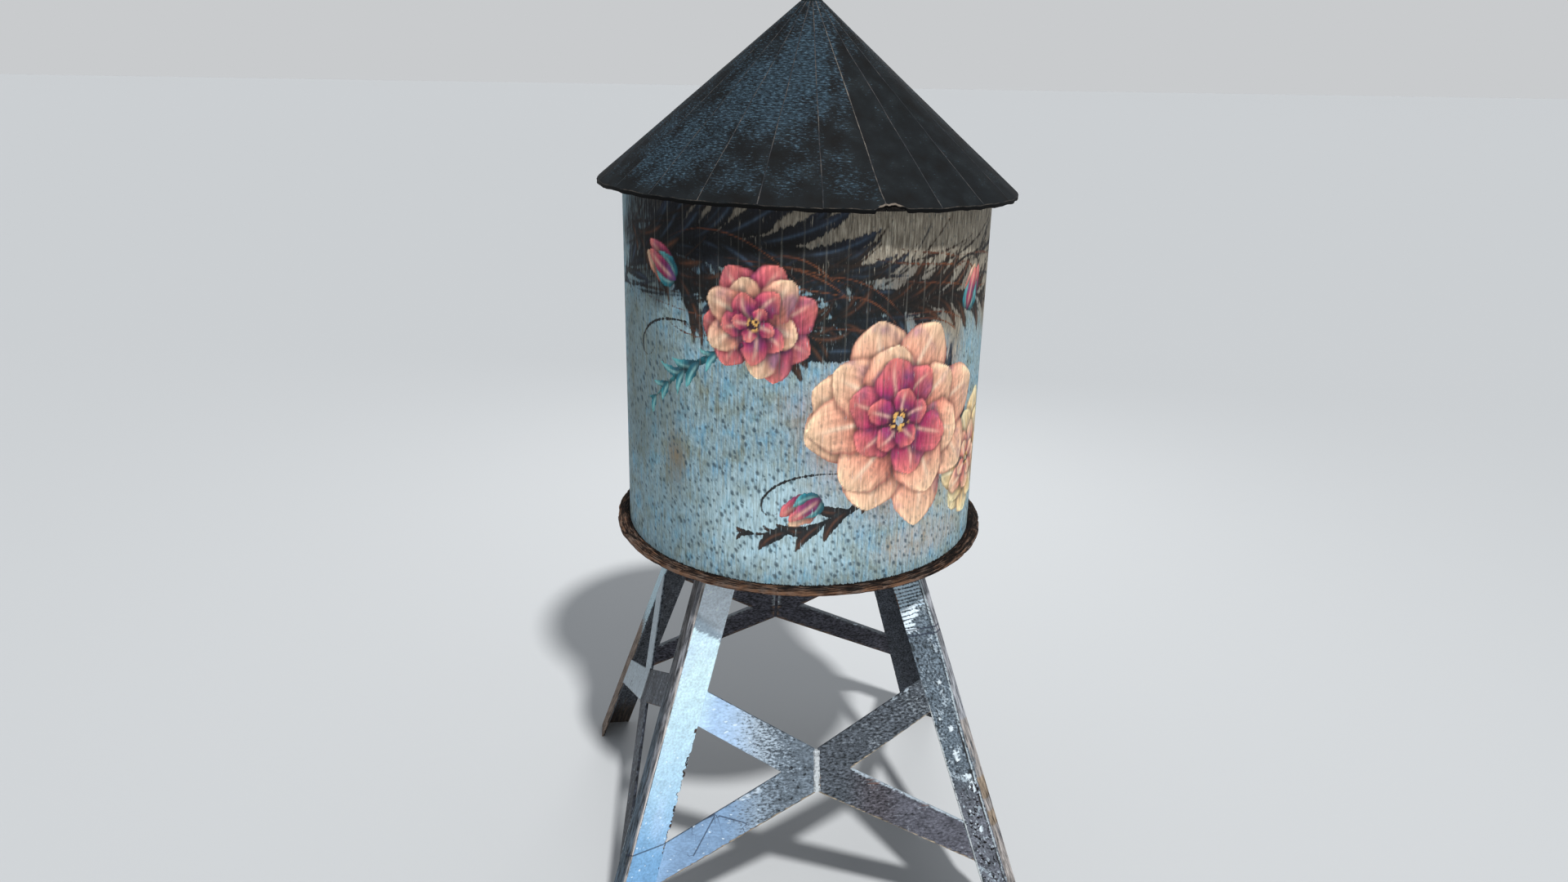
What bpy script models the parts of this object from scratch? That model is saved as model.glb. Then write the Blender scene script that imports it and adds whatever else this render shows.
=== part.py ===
"""Water tower: a round timber tank under a cone roof, on four leaning steel legs with an X brace on each face.

Metres, +Z up. The origin is on the ground at the middle of the four feet.
Front is -Y and the right-hand side is +X.
"""

import math

import bmesh
import bpy
from mathutils import Matrix, Vector

# Gap left between two pieces that rest on each other
JOINT_GAP = 0.0003

# Gap under the roof: the steps of the turned cone dip about 0.4 mm below a true cone
ROOF_SEAT_GAP = 0.0007

# Trestle: each leg's outer heel lies on two leaning face planes
DECK_UNDERSIDE = 2.85
HALF_WIDTH_AT_DECK = 0.716
LEAN_PER_METRE = 0.302
LEG_FLANGE = 0.246
LEG_PLATE = 0.020
LEG_HEEL_CHAMFER = 0.036
LEG_INNER_CHAMFER = 0.018

# Braces: heights above the ground where the edges of the flat arms meet the legs and the hub
BRACE_PLATE = 0.020
HUB_HALF_WIDTH = 0.2353
HUB_MIDDLE = 1.419
HUB_NOTCH_ABOVE = 1.554
HUB_NOTCH_BELOW = 1.278
UPPER_ARM_TOP = 1.983
UPPER_ARM_FOOT = 1.764
LOWER_ARM_TOP = 1.001
LOWER_ARM_FOOT = 0.722
WELD_HALF_WIDTH = 0.020
WELD_CREST_HALF_WIDTH = 0.011
WELD_PROUD = 0.006

# Deck and tank
DECK_RADIUS = 1.31
DECK_THICKNESS = 0.024
DECK_STEPS = 120
TANK_RADIUS = 1.22
TANK_TAPER_PER_METRE = 0.007
STAVE_THICKNESS = 0.045
WALL_PANELS = 10
WALL_STEPS_PER_PANEL = 12
WALL_FIRST_SEAM_DEG = -9.0

# Roof: a cone that sits slightly out of level
EAVE_RADIUS = 1.364
APEX_HEIGHT = DECK_UNDERSIDE + 3.514
EAVE_TOP_HEIGHT = DECK_UNDERSIDE + 2.353
ROOF_THICKNESS = 0.025
ROOF_PANELS = 8
ROOF_STEPS_PER_PANEL = 15
ROOF_FIRST_SEAM_DEG = -5.0
ROOF_TIP_RADIUS = 0.070
ROOF_TIP_STEPS = 48
ROOF_TILT_X = -0.0192
ROOF_TILT_Y = -0.0217

ROOF_SLOPE = (APEX_HEIGHT - EAVE_TOP_HEIGHT) / EAVE_RADIUS
FRONT_DEG = -90.0

# Base colour, roughness and metallic of each finish
FINISHES = {
    "roof_sheet": ((0.026, 0.030, 0.033), 0.75, 0.0),
    "tank_paint": ((0.340, 0.450, 0.500), 0.70, 0.0),
    "deck_timber": ((0.100, 0.062, 0.042), 0.85, 0.0),
    "pale_steel_paint": ((0.460, 0.560, 0.640), 0.60, 0.0),
    "dark_steel_paint": ((0.120, 0.125, 0.140), 0.65, 0.0),
    "weld_paint": ((0.440, 0.470, 0.480), 0.60, 0.0),
}


def clear_scene():
    """Removes whatever the scene holds at the start."""
    for obj in list(bpy.data.objects):
        bpy.data.objects.remove(obj, do_unlink=True)


def make_finish(name):
    """One plain material with the finish's colour, roughness and metallic."""
    colour, roughness, metallic = FINISHES[name]
    material = bpy.data.materials.new(name)
    material.use_nodes = True
    shader = material.node_tree.nodes["Principled BSDF"]
    shader.inputs["Base Color"].default_value = (*colour, 1.0)
    shader.inputs["Roughness"].default_value = roughness
    shader.inputs["Metallic"].default_value = metallic
    material.diffuse_color = (*colour, 1.0)
    return material


def half_width(height):
    """Distance from the tower's axis to a face plane, at a height above the ground."""
    return HALF_WIDTH_AT_DECK + LEAN_PER_METRE * (DECK_UNDERSIDE - height)


def flange_edge(height):
    """Distance from a face's middle line to the free edge of a leg's flange."""
    return half_width(height) - LEG_FLANGE


def roof_underside(radius):
    """Height of the level cone's underside at a radius."""
    return APEX_HEIGHT - ROOF_SLOPE * radius - ROOF_THICKNESS


def tank_radius(height):
    """Outer radius of the tank at a height above the ground. It narrows a little towards the top."""
    return TANK_RADIUS - TANK_TAPER_PER_METRE * (height - DECK_UNDERSIDE)


def tilted(point):
    """The point moved up or down with the roof's tilt."""
    lift = ROOF_TILT_X * point.x + ROOF_TILT_Y * point.y
    return Vector((point.x, point.y, point.z + lift))


def add_solid(name, bm, collection, material, turn_deg=0.0):
    """Turns a bmesh into one named object, turned about the tower's axis."""
    bmesh.ops.recalc_face_normals(bm, faces=bm.faces)
    bmesh.ops.transform(bm, matrix=Matrix.Rotation(math.radians(turn_deg), 4, "Z"), verts=bm.verts)
    mesh = bpy.data.meshes.new(name)
    bm.to_mesh(mesh)
    bm.free()
    mesh.materials.append(material)
    obj = bpy.data.objects.new(name, mesh)
    collection.objects.link(obj)
    return obj


def prism(outline, along):
    """A solid made by drawing a flat outline along a vector."""
    bm = bmesh.new()
    face = bm.faces.new([bm.verts.new(point) for point in outline])
    drawn = bmesh.ops.extrude_face_region(bm, geom=[face], use_keep_orig=True)
    moved = [item for item in drawn["geom"] if isinstance(item, bmesh.types.BMVert)]
    bmesh.ops.translate(bm, verts=moved, vec=along)
    return bm


def ring_piece(profile, first_deg, last_deg, steps):
    """A solid made by turning a closed profile of (radius, height) points about the Z axis."""
    bm = bmesh.new()
    start = math.radians(first_deg)
    corners = [(r * math.cos(start), r * math.sin(start), z) for r, z in profile]
    face = bm.faces.new([bm.verts.new(point) for point in corners])
    bmesh.ops.spin(
        bm,
        geom=[face, *face.verts, *face.edges],
        axis=(0.0, 0.0, 1.0),
        cent=(0.0, 0.0, 0.0),
        angle=math.radians(last_deg - first_deg),
        steps=steps,
        use_duplicate=False,
    )
    return bm


def build_leg(name, turn_deg, collection, material):
    """One leg: an angle of two flanges with a chamfered heel, leaning inwards on both faces."""
    heel = -half_width(0.0)
    outline = [
        (LEG_HEEL_CHAMFER, 0.0),
        (LEG_FLANGE, 0.0),
        (LEG_FLANGE, LEG_PLATE),
        (LEG_PLATE + LEG_INNER_CHAMFER, LEG_PLATE),
        (LEG_PLATE, LEG_PLATE + LEG_INNER_CHAMFER),
        (LEG_PLATE, LEG_FLANGE),
        (0.0, LEG_FLANGE),
        (0.0, LEG_HEEL_CHAMFER),
    ]
    rise = DECK_UNDERSIDE - JOINT_GAP
    lean = LEAN_PER_METRE * rise
    foot = [(heel + x, heel + y, 0.0) for x, y in outline]
    add_solid(name, prism(foot, (lean, lean, rise)), collection, material, turn_deg)


def build_arm(name, outline, turn_deg, collection, material):
    """One flat brace arm. Its outline is (distance from the middle line, height) on the face plane."""
    corners = [(x, -half_width(z), z) for x, z in outline]
    add_solid(name, prism(corners, (0.0, BRACE_PLATE, 0.0)), collection, material, turn_deg)


def build_brace(face, turn_deg, collection, finish_left, finish_right, weld):
    """The X brace of one face: four arms that meet beside an upright weld."""
    inner = WELD_HALF_WIDTH + JOINT_GAP
    half_gap = 0.5 * JOINT_GAP
    upper_slope = (UPPER_ARM_TOP - HUB_NOTCH_ABOVE) / flange_edge(UPPER_ARM_TOP)
    lower_slope = (HUB_NOTCH_BELOW - LOWER_ARM_FOOT) / flange_edge(LOWER_ARM_FOOT)
    upper = [
        (inner, HUB_NOTCH_ABOVE + upper_slope * inner),
        (flange_edge(UPPER_ARM_TOP) - JOINT_GAP, UPPER_ARM_TOP),
        (flange_edge(UPPER_ARM_FOOT) - JOINT_GAP, UPPER_ARM_FOOT),
        (HUB_HALF_WIDTH, HUB_MIDDLE + half_gap),
        (inner, HUB_MIDDLE + half_gap),
    ]
    lower = [
        (inner, HUB_MIDDLE - half_gap),
        (HUB_HALF_WIDTH, HUB_MIDDLE - half_gap),
        (flange_edge(LOWER_ARM_TOP) - JOINT_GAP, LOWER_ARM_TOP),
        (flange_edge(LOWER_ARM_FOOT) - JOINT_GAP, LOWER_ARM_FOOT),
        (inner, HUB_NOTCH_BELOW - lower_slope * inner),
    ]
    for side, sign, material in (("left", -1.0, finish_left), ("right", 1.0, finish_right)):
        for level, outline in (("upper", upper), ("lower", lower)):
            mirrored = [(sign * x, z) for x, z in outline]
            build_arm(f"brace_{face}_{level}_{side}", mirrored, turn_deg, collection, material)
    low = HUB_NOTCH_BELOW
    high = HUB_NOTCH_ABOVE
    section = [
        (-WELD_HALF_WIDTH, 0.0),
        (-WELD_CREST_HALF_WIDTH, -WELD_PROUD),
        (WELD_CREST_HALF_WIDTH, -WELD_PROUD),
        (WELD_HALF_WIDTH, 0.0),
        (WELD_HALF_WIDTH, BRACE_PLATE),
        (-WELD_HALF_WIDTH, BRACE_PLATE),
    ]
    foot = [(x, y - half_width(low), low) for x, y in section]
    bead = prism(foot, (0.0, LEAN_PER_METRE * (high - low), high - low))
    add_solid(f"hub_weld_{face}", bead, collection, weld, turn_deg)


def build_deck(collection, material):
    """The round timber deck that carries the tank and reaches past it all round."""
    bm = bmesh.new()
    bmesh.ops.create_cone(
        bm,
        cap_ends=True,
        segments=DECK_STEPS,
        radius1=DECK_RADIUS,
        radius2=DECK_RADIUS,
        depth=DECK_THICKNESS,
        matrix=Matrix.Translation((0.0, 0.0, DECK_UNDERSIDE + 0.5 * DECK_THICKNESS)),
    )
    add_solid("deck", bm, collection, material)


def build_wall_panel(number, collection, material):
    """One panel of the tank wall, six staves wide. Its top follows the underside of the tilted roof."""
    base = DECK_UNDERSIDE + DECK_THICKNESS + JOINT_GAP
    outer_foot = tank_radius(base)
    outer_top = tank_radius(roof_underside(EAVE_RADIUS))
    inner_foot = outer_foot - STAVE_THICKNESS
    inner_top = outer_top - STAVE_THICKNESS
    profile = [
        (inner_foot, base),
        (outer_foot, base),
        (outer_top, roof_underside(outer_top) - ROOF_SEAT_GAP),
        (inner_top, roof_underside(inner_top) - ROOF_SEAT_GAP),
    ]
    sweep = 360.0 / WALL_PANELS
    gap = math.degrees(0.5 * JOINT_GAP / inner_top)
    first = FRONT_DEG + WALL_FIRST_SEAM_DEG + number * sweep
    bm = ring_piece(profile, first + gap, first + sweep - gap, WALL_STEPS_PER_PANEL)
    middle = 0.5 * (base + EAVE_TOP_HEIGHT)
    for vert in bm.verts:
        if vert.co.z > middle:
            vert.co = tilted(vert.co)
    add_solid(f"tank_wall_{number + 1:02d}", bm, collection, material)


def build_roof_panel(number, collection, material):
    """One panel of the cone roof, three gores wide, with an upright cut at the eave."""
    inner = ROOF_TIP_RADIUS + JOINT_GAP
    profile = [
        (inner, roof_underside(inner)),
        (EAVE_RADIUS, roof_underside(EAVE_RADIUS)),
        (EAVE_RADIUS, EAVE_TOP_HEIGHT),
        (inner, roof_underside(inner) + ROOF_THICKNESS),
    ]
    sweep = 360.0 / ROOF_PANELS
    gap = math.degrees(0.5 * JOINT_GAP / EAVE_RADIUS)
    first = FRONT_DEG + ROOF_FIRST_SEAM_DEG + number * sweep
    bm = ring_piece(profile, first + gap, first + sweep - gap, ROOF_STEPS_PER_PANEL)
    for vert in bm.verts:
        vert.co = tilted(vert.co)
    add_solid(f"roof_panel_{number + 1}", bm, collection, material)


def build_roof_tip(collection, material):
    """The small solid point that closes the cone where the panels end."""
    foot = roof_underside(ROOF_TIP_RADIUS)
    shoulder = foot + ROOF_THICKNESS
    bm = bmesh.new()
    bmesh.ops.create_cone(
        bm,
        cap_ends=True,
        segments=ROOF_TIP_STEPS,
        radius1=ROOF_TIP_RADIUS,
        radius2=ROOF_TIP_RADIUS,
        depth=ROOF_THICKNESS,
        matrix=Matrix.Translation((0.0, 0.0, 0.5 * (foot + shoulder))),
    )
    top = [face for face in bm.faces if face.calc_center_median().z > shoulder - 0.1 * ROOF_THICKNESS]
    bmesh.ops.poke(bm, faces=top, offset=APEX_HEIGHT - shoulder)
    for vert in bm.verts:
        vert.co = tilted(vert.co)
    add_solid("roof_tip", bm, collection, material)


def main():
    """Builds every piece in one collection."""
    clear_scene()
    collection = bpy.data.collections.new("water_tower")
    bpy.context.scene.collection.children.link(collection)
    finish = {name: make_finish(name) for name in FINISHES}
    pale = finish["pale_steel_paint"]
    dark = finish["dark_steel_paint"]
    legs = (("front_left", 0.0), ("front_right", 90.0), ("back_right", 180.0), ("back_left", 270.0))
    for place, turn_deg in legs:
        build_leg(f"leg_{place}", turn_deg, collection, pale if "left" in place else dark)
    braces = (
        ("front", 0.0, pale, dark),
        ("right", 90.0, dark, dark),
        ("back", 180.0, dark, dark),
        ("left", 270.0, dark, pale),
    )
    for face, turn_deg, finish_left, finish_right in braces:
        build_brace(face, turn_deg, collection, finish_left, finish_right, finish["weld_paint"])
    build_deck(collection, finish["deck_timber"])
    for number in range(WALL_PANELS):
        build_wall_panel(number, collection, finish["tank_paint"])
    for number in range(ROOF_PANELS):
        build_roof_panel(number, collection, finish["roof_sheet"])
    build_roof_tip(collection, finish["roof_sheet"])


main()
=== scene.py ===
"""Looks of the water tower: staved tank, cone roof, timber deck and braced steel legs.

Metres, +Z up, origin on the ground between the four feet. Front is -Y.
Angles round the tank are counted from the front towards +X.
"""

from __future__ import annotations

import logging
import math
from collections.abc import Callable, Sequence
from dataclasses import dataclass, field
from enum import Enum
from functools import partial

import bpy
import numpy as np
from mathutils import Matrix, Vector


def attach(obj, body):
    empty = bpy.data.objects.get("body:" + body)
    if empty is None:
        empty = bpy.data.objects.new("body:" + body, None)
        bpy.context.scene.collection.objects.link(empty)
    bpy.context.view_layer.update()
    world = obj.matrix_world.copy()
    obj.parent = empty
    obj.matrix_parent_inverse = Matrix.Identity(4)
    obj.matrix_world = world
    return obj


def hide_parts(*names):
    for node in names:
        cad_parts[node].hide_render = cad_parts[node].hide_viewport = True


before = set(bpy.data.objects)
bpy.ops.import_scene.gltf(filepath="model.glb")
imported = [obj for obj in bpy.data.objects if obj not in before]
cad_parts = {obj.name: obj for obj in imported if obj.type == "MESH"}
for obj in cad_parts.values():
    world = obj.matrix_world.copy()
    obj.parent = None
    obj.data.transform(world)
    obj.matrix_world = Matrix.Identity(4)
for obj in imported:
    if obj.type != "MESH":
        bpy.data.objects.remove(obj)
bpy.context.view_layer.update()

LOG = logging.getLogger("water_tower")
BODY = "root"
TAU = 2.0 * math.pi
CREASE = math.radians(32.0)
Colour = tuple[float, float, float, float]
Pair = tuple[float, float]
Material = bpy.types.Material
Node = bpy.types.Node
Source = bpy.types.Node | bpy.types.NodeSocket
Adder = Callable[..., Node]


class Side(Enum):
    """The four faces of the trestle, by the turn in degrees that brings the front there."""

    FRONT = 0
    RIGHT = 90
    BACK = 180
    LEFT = 270


class Corner(Enum):
    """The four legs, by the turn in degrees that brings the front left one there."""

    FRONT_LEFT = 0
    FRONT_RIGHT = 90
    BACK_RIGHT = 180
    BACK_LEFT = 270


class Slot(Enum):
    """Material slots of the record."""

    ROOF = "roof_sheet"
    TANK = "tank_paint"
    DECK = "deck_timber"
    PALE = "pale_steel_paint"
    DARK = "dark_steel_paint"
    WELD = "weld_paint"


def linear(code: str) -> Colour:
    """Turns an sRGB hex colour into linear values.

    Args:
        code: six hex digits.

    Returns:
        Linear red, green and blue, and an alpha of one.
    """
    parts = [int(code[i : i + 2], 16) / 255.0 for i in (0, 2, 4)]
    values = [p / 12.92 if p <= 0.04045 else ((p + 0.055) / 1.055) ** 2.4 for p in parts]
    return (*values, 1.0)


def tone(code: str) -> np.ndarray:
    """The linear colour of a hex code as three numbers."""
    return np.array(linear(code)[:3])


def smooth(low: float, high: float, value: np.ndarray) -> np.ndarray:
    """A soft step that goes from 0 at low to 1 at high.

    Args:
        low: value where the step starts.
        high: value where it ends, which may be the smaller one.
        value: numbers to put through it.

    Returns:
        Numbers from 0 to 1.
    """
    t = np.clip((value - low) / (high - low), 0.0, 1.0)
    return t * t * (3.0 - 2.0 * t)


def noise(*axes: np.ndarray | float, seed: int = 0, octaves: int = 1) -> np.ndarray:
    """Smooth random values with a feature size of about one unit.

    Args:
        *axes: up to three coordinates, which are broadcast together.
        seed: picks one of many patterns.
        octaves: how many layers, each with half the size and height of the last.

    Returns:
        Values from about -1 to 1.
    """
    spread = np.broadcast_arrays(*(np.asarray(a, dtype=float) for a in (*axes, 0.0, 0.0)[:3]))
    shape = spread[0].shape
    points = np.stack([a.ravel() for a in spread], axis=1)
    total = np.zeros(len(points))
    for level in range(octaves):
        scaled = points * 2.0**level
        cell = np.floor(scaled).astype(np.int64)
        part = scaled - cell
        ease = part * part * (3.0 - 2.0 * part)
        for step in np.ndindex(2, 2, 2):
            at = cell + np.array(step)
            code = (at[:, 0] * 73856093) ^ (at[:, 1] * 19349663) ^ (at[:, 2] * 83492791)
            code ^= (seed + level) * 2654435761
            code = ((code ^ (code >> 13)) * 1274126177) & 0x7FFFFFFF
            value = (code & 0xFFFF) / 32767.5 - 1.0
            weight = np.prod(np.where(np.array(step) == 1, ease, 1.0 - ease), axis=1)
            total += 0.5**level * value * weight
    return (total / (2.0 - 0.5 ** (octaves - 1))).reshape(shape)


def round_point(angle: np.ndarray, radius: np.ndarray, height: np.ndarray) -> np.ndarray:
    """Points on a circle about the tower's axis.

    Args:
        angle: radians from the front towards +X.
        radius: distance from the axis.
        height: height above the ground.

    Returns:
        Points with their coordinates in the last axis.
    """
    return stack(radius * np.sin(angle), -radius * np.cos(angle), height)


def stack(*parts: np.ndarray | float) -> np.ndarray:
    """Broadcasts values together and puts them in the last axis of one array."""
    return np.stack(np.broadcast_arrays(*parts), axis=-1)


def turned(points: np.ndarray, degrees: float) -> np.ndarray:
    """Points turned about the tower's axis.

    Args:
        points: coordinates in the last axis.
        degrees: turn, counted from +X towards +Y.

    Returns:
        The turned points.
    """
    c, s = math.cos(math.radians(degrees)), math.sin(math.radians(degrees))
    x, y, z = points[..., 0], points[..., 1], points[..., 2]
    return stack(c * x - s * y, s * x + c * y, z)


@dataclass
class Sketch:
    """Closed bodies of one piece, gathered before they become a mesh."""

    name: str
    points: list[np.ndarray] = field(default_factory=list)
    faces: list[list[int]] = field(default_factory=list)
    fields: dict[str, list[np.ndarray]] = field(default_factory=dict)
    count: int = 0

    def add_sweep(self, sections: np.ndarray, **values: np.ndarray | float) -> None:
        """Adds one closed body through a row of closed outlines, with its faces turned outwards.

        Args:
            sections: array of rows, outline points and coordinates.
            **values: named fields with a value, or several in the last axis, for each point.
        """
        rows, ring = sections.shape[:2]
        flat = sections.reshape(-1, 3)
        here = np.arange(rows - 1)[:, None] * ring
        column = np.arange(ring)[None, :]
        after = (column + 1) % ring
        quads = stack(here + column, here + after, here + ring + after, here + ring + column).reshape(-1, 4)
        caps = [np.arange(ring)[::-1], np.arange((rows - 1) * ring, rows * ring)]
        centred = flat - flat.mean(axis=0)
        a, b, c, d = (centred[quads[:, i]] for i in range(4))
        volume = (a * (np.cross(b, c) + np.cross(c, d))).sum()
        for cap in caps:
            p = centred[cap]
            volume += (p[0] * np.cross(p[1:-1], p[2:])).sum()
        step = 1 if volume > 0.0 else -1
        self.faces.extend((quads[:, ::step] + self.count).tolist())
        self.faces.extend((cap[::step] + self.count).tolist() for cap in caps)
        self.points.append(flat)
        self.count += rows * ring
        for key, value in values.items():
            value = np.asarray(value, dtype=float)
            tail = value.shape[2:]
            spread = np.broadcast_to(value, (rows, ring, *tail)).reshape(rows * ring, *tail)
            self.fields.setdefault(key, []).append(spread)

    def finish(self, material: Material, slot: Slot, nodes: list[str]) -> bpy.types.Object:
        """Makes the piece, its per-point attributes and its place in the frame.

        Args:
            material: the finish of the piece.
            slot: the record's slot that the piece belongs to; not used.
            nodes: CAD nodes that the piece stands for.

        Returns:
            The new object.
        """
        mesh = bpy.data.meshes.new(self.name)
        mesh.from_pydata(np.concatenate(self.points).tolist(), [], self.faces)
        kinds = {1: ("FLOAT", "value"), 3: ("FLOAT_VECTOR", "vector"), 4: ("FLOAT_COLOR", "color")}
        for key, parts in self.fields.items():
            data = np.concatenate(parts)
            kind, store = kinds[1 if data.ndim == 1 else data.shape[1]]
            attribute = mesh.attributes.new(key, kind, "POINT")
            attribute.data.foreach_set(store, data.astype(np.float32).ravel())
        mesh.materials.append(material)
        mesh.polygons.foreach_set("use_smooth", [True] * len(self.faces))
        mesh.update()
        piece = bpy.data.objects.new(self.name, mesh)
        bpy.context.scene.collection.objects.link(piece)
        mesh.set_sharp_from_angle(angle=CREASE)
        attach(piece, BODY)
        if nodes:
            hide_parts(*nodes)
        LOG.info("%s: %d faces, stands for %s", self.name, len(self.faces), ", ".join(nodes) or "no node")
        return piece


def feed(node: Node, feeds: dict[str | int, object]) -> None:
    """Sets or links the inputs of a node.

    Args:
        node: the node.
        feeds: input name or number to a value, to an output, or to a node whose main output is meant.
    """
    for key, value in feeds.items():
        if isinstance(value, Node):
            value = value.outputs[2 if value.bl_idname == "ShaderNodeMix" else 0]
        if isinstance(value, bpy.types.NodeSocket):
            node.id_data.links.new(value, node.inputs[key])
        else:
            node.inputs[key].default_value = value


def add_node(
    tree: bpy.types.NodeTree,
    kind: str,
    feeds: dict[str | int, object] | None = None,
    stops: list[tuple[float, str]] | None = None,
    **settings: object,
) -> Node:
    """Adds one node with its settings and links. A Mix node mixes colours.

    Args:
        tree: the material's node tree.
        kind: the node's type name, without the common start.
        feeds: what its inputs are set to or linked from.
        stops: places and hex colours of a colour ramp.
        **settings: the node's own properties.

    Returns:
        The new node.
    """
    made = tree.nodes.new("ShaderNode" + kind)
    if kind == "Mix":
        made.data_type = "RGBA"
    for key, value in settings.items():
        setattr(made, key, value)
    feed(made, feeds or {})
    for i, (place, code) in enumerate(stops or []):
        elements = made.color_ramp.elements
        element = elements[i] if i < 2 else elements.new(place)
        element.position = place
        element.color = linear(code)
    return made


@dataclass(frozen=True)
class Finish:
    """What all finishes share: a name, the roughness of the real surface and how much its skin reflects."""

    name: str
    roughness: float = 0.7
    specular: float = 0.25

    def start(self, *fields: str) -> tuple[Material, Adder, Node, list[Node]]:
        """Makes a material with its shader and reads the mesh's fields.

        Args:
            *fields: names of per-point attributes.

        Returns:
            The material, a function that adds nodes to it, its shader node, and a reader for each field.
        """
        material = bpy.data.materials.new(self.name)
        material.use_nodes = True
        add = partial(add_node, material.node_tree)
        shader = material.node_tree.nodes["Principled BSDF"]
        feed(shader, {"Roughness": self.roughness, "Specular IOR Level": self.specular})
        return material, add, shader, [add("Attribute", attribute_name=key) for key in fields]


@dataclass(frozen=True)
class BoardPaint(Finish):
    """Oil paint brushed on upright softwood boards and left to chalk: matt, streaked, with mildew."""

    name: str = "chalked_board_paint"
    roughness: float = 0.74
    streak_mm: tuple[float, float] = (12.0, 115.0)
    patch_mm: float = 150.0
    blur_mm: tuple[float, float] = (17.0, 38.0)
    spot_mm: tuple[float, float] = (43.0, 64.0)
    spot_slant: float = 0.42
    grain_mm: tuple[float, float] = (5.0, 160.0)
    # Brush marks to one mark of the dry brush, and to one fleck of an older coat
    bristle_scale: float = 0.7
    fleck_scale: float = 0.55

    def build(self) -> Material:
        """Makes the painted wall's material.

        Returns:
            The material. Its field foot is above zero at the foot and below zero at the top.
        """
        keys = ("skin", "art", "wash", "tint", "spots", "joint", "foot")
        material, add, shader, readers = self.start(*keys)
        skin, art, wash = readers[0].outputs["Vector"], readers[1], readers[2]
        tint, spots, joint, foot = (reader.outputs["Fac"] for reader in readers[3:])
        # Upright brush marks and open grain: a stroke is ten times as long as it is wide
        wide, long = (1000.0 / size for size in self.streak_mm)
        marks = add("Mapping", {"Vector": skin, "Scale": (wide, long, 1.0)})
        streak = add("TexNoise", {"Vector": marks, "Scale": 1.0, "Detail": 5.0, "Roughness": 0.62})
        patch = add("TexNoise", {"Vector": skin, "Scale": 1000.0 / self.patch_mm, "Detail": 3.0})
        wall = self.faded_blue(add, skin, marks, streak, patch)
        wall = self.ochre_top(add, wall, streak, patch, tint)
        wall = self.washed(add, wall, streak, wash)
        feeds = {"Vector": marks, "Scale": self.bristle_scale, "Detail": 4.0, "Roughness": 0.6}
        bristle = add("TexNoise", {**feeds, "Distortion": 0.6})
        wall, cover = self.drawn(add, wall, streak, bristle, art)
        dark = self.mildew(add, skin, spots, cover)
        wall = add("Mix", {0: dark, 6: wall, 7: linear("364852")})
        wall = self.edged(add, wall, bristle, joint, foot)
        wide, long = (1000.0 / size for size in self.grain_mm)
        grain = add("Mapping", {"Vector": skin, "Scale": (wide, long, 1.0)})
        grain = add("TexNoise", {"Vector": grain, "Scale": 1.0, "Detail": 3.0})
        relief = add("Math", {0: grain, 1: 0.7, 2: streak}, operation="MULTIPLY_ADD")
        pitted = add("Math", {0: dark, 1: -0.8, 2: relief}, operation="MULTIPLY_ADD")
        bump = add("Bump", {"Height": pitted, "Strength": 0.5, "Distance": 0.002})
        rough = add("MapRange", {"Value": streak, "To Min": 0.62, "To Max": 0.88})
        feed(shader, {"Base Color": wall, "Normal": bump, "Roughness": rough})
        return material

    def faded_blue(self, add: Adder, skin: Source, marks: Source, streak: Source, patch: Source) -> Source:
        """Mixes the chalky blue ground, with small blurs of mildew and flecks of older coats.

        Args:
            add: adds a node to the material.
            skin: place on the wall.
            marks: place counted in brush marks.
            streak: strength of the brush marks.
            patch: broad patches.

        Returns:
            The colour.
        """
        cool = [(0.30, "819ba5"), (0.44, "9ebac5"), (0.56, "aecbd6"), (0.70, "c3dfe8")]
        ground = add("ValToRGB", {"Fac": streak}, cool)
        hues = [(0.34, "ddd3c4"), (0.46, "ebebe9"), (0.56, "efefef"), (0.68, "cfecf8")]
        hue = add("ValToRGB", {"Fac": patch}, hues)
        hued = add("Mix", {0: 1.0, 6: ground, 7: hue}, blend_type="MULTIPLY")
        # Mildew has taken the paint in small blurs that all slant the same way
        blurs = self.slanted(add, skin, self.blur_mm)
        blur = add("TexNoise", {"Vector": blurs, "Scale": 1.0, "Detail": 4.0, "Roughness": 0.6})
        feeds = {"Value": blur, "From Min": 0.36, "From Max": 0.68, "To Min": 1.14, "To Max": 0.64}
        blur = add("MapRange", feeds)
        hued = add("VectorMath", {0: hued, "Scale": blur}, operation="SCALE")
        # Old undercoats show through in brownish and bluish flecks
        feeds = {"Vector": marks, "Scale": self.fleck_scale, "Detail": 3.0, "Roughness": 0.65}
        fleck = add("TexNoise", feeds)
        stops = [(0.34, "d9cdbb"), (0.47, "f2f1ee"), (0.55, "f3f6f7"), (0.68, "bfe2f8")]
        fleck = add("ValToRGB", {"Fac": fleck}, stops)
        return add("VectorMath", {0: hued, 1: fleck}, operation="MULTIPLY")

    def slanted(self, add: Adder, skin: Source, oval_mm: tuple[float, float]) -> Source:
        """Counts the place on the wall in slanted ovals.

        Args:
            add: adds a node to the material.
            skin: place on the wall.
            oval_mm: width and height of an oval.

        Returns:
            The place, one unit for each oval.
        """
        wide, tall = (size / 1000.0 for size in oval_mm)
        feeds = {"Vector": skin, "Scale": (wide, tall, 1.0), "Rotation": (0.0, 0.0, self.spot_slant)}
        return add("Mapping", feeds, vector_type="TEXTURE")

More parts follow.
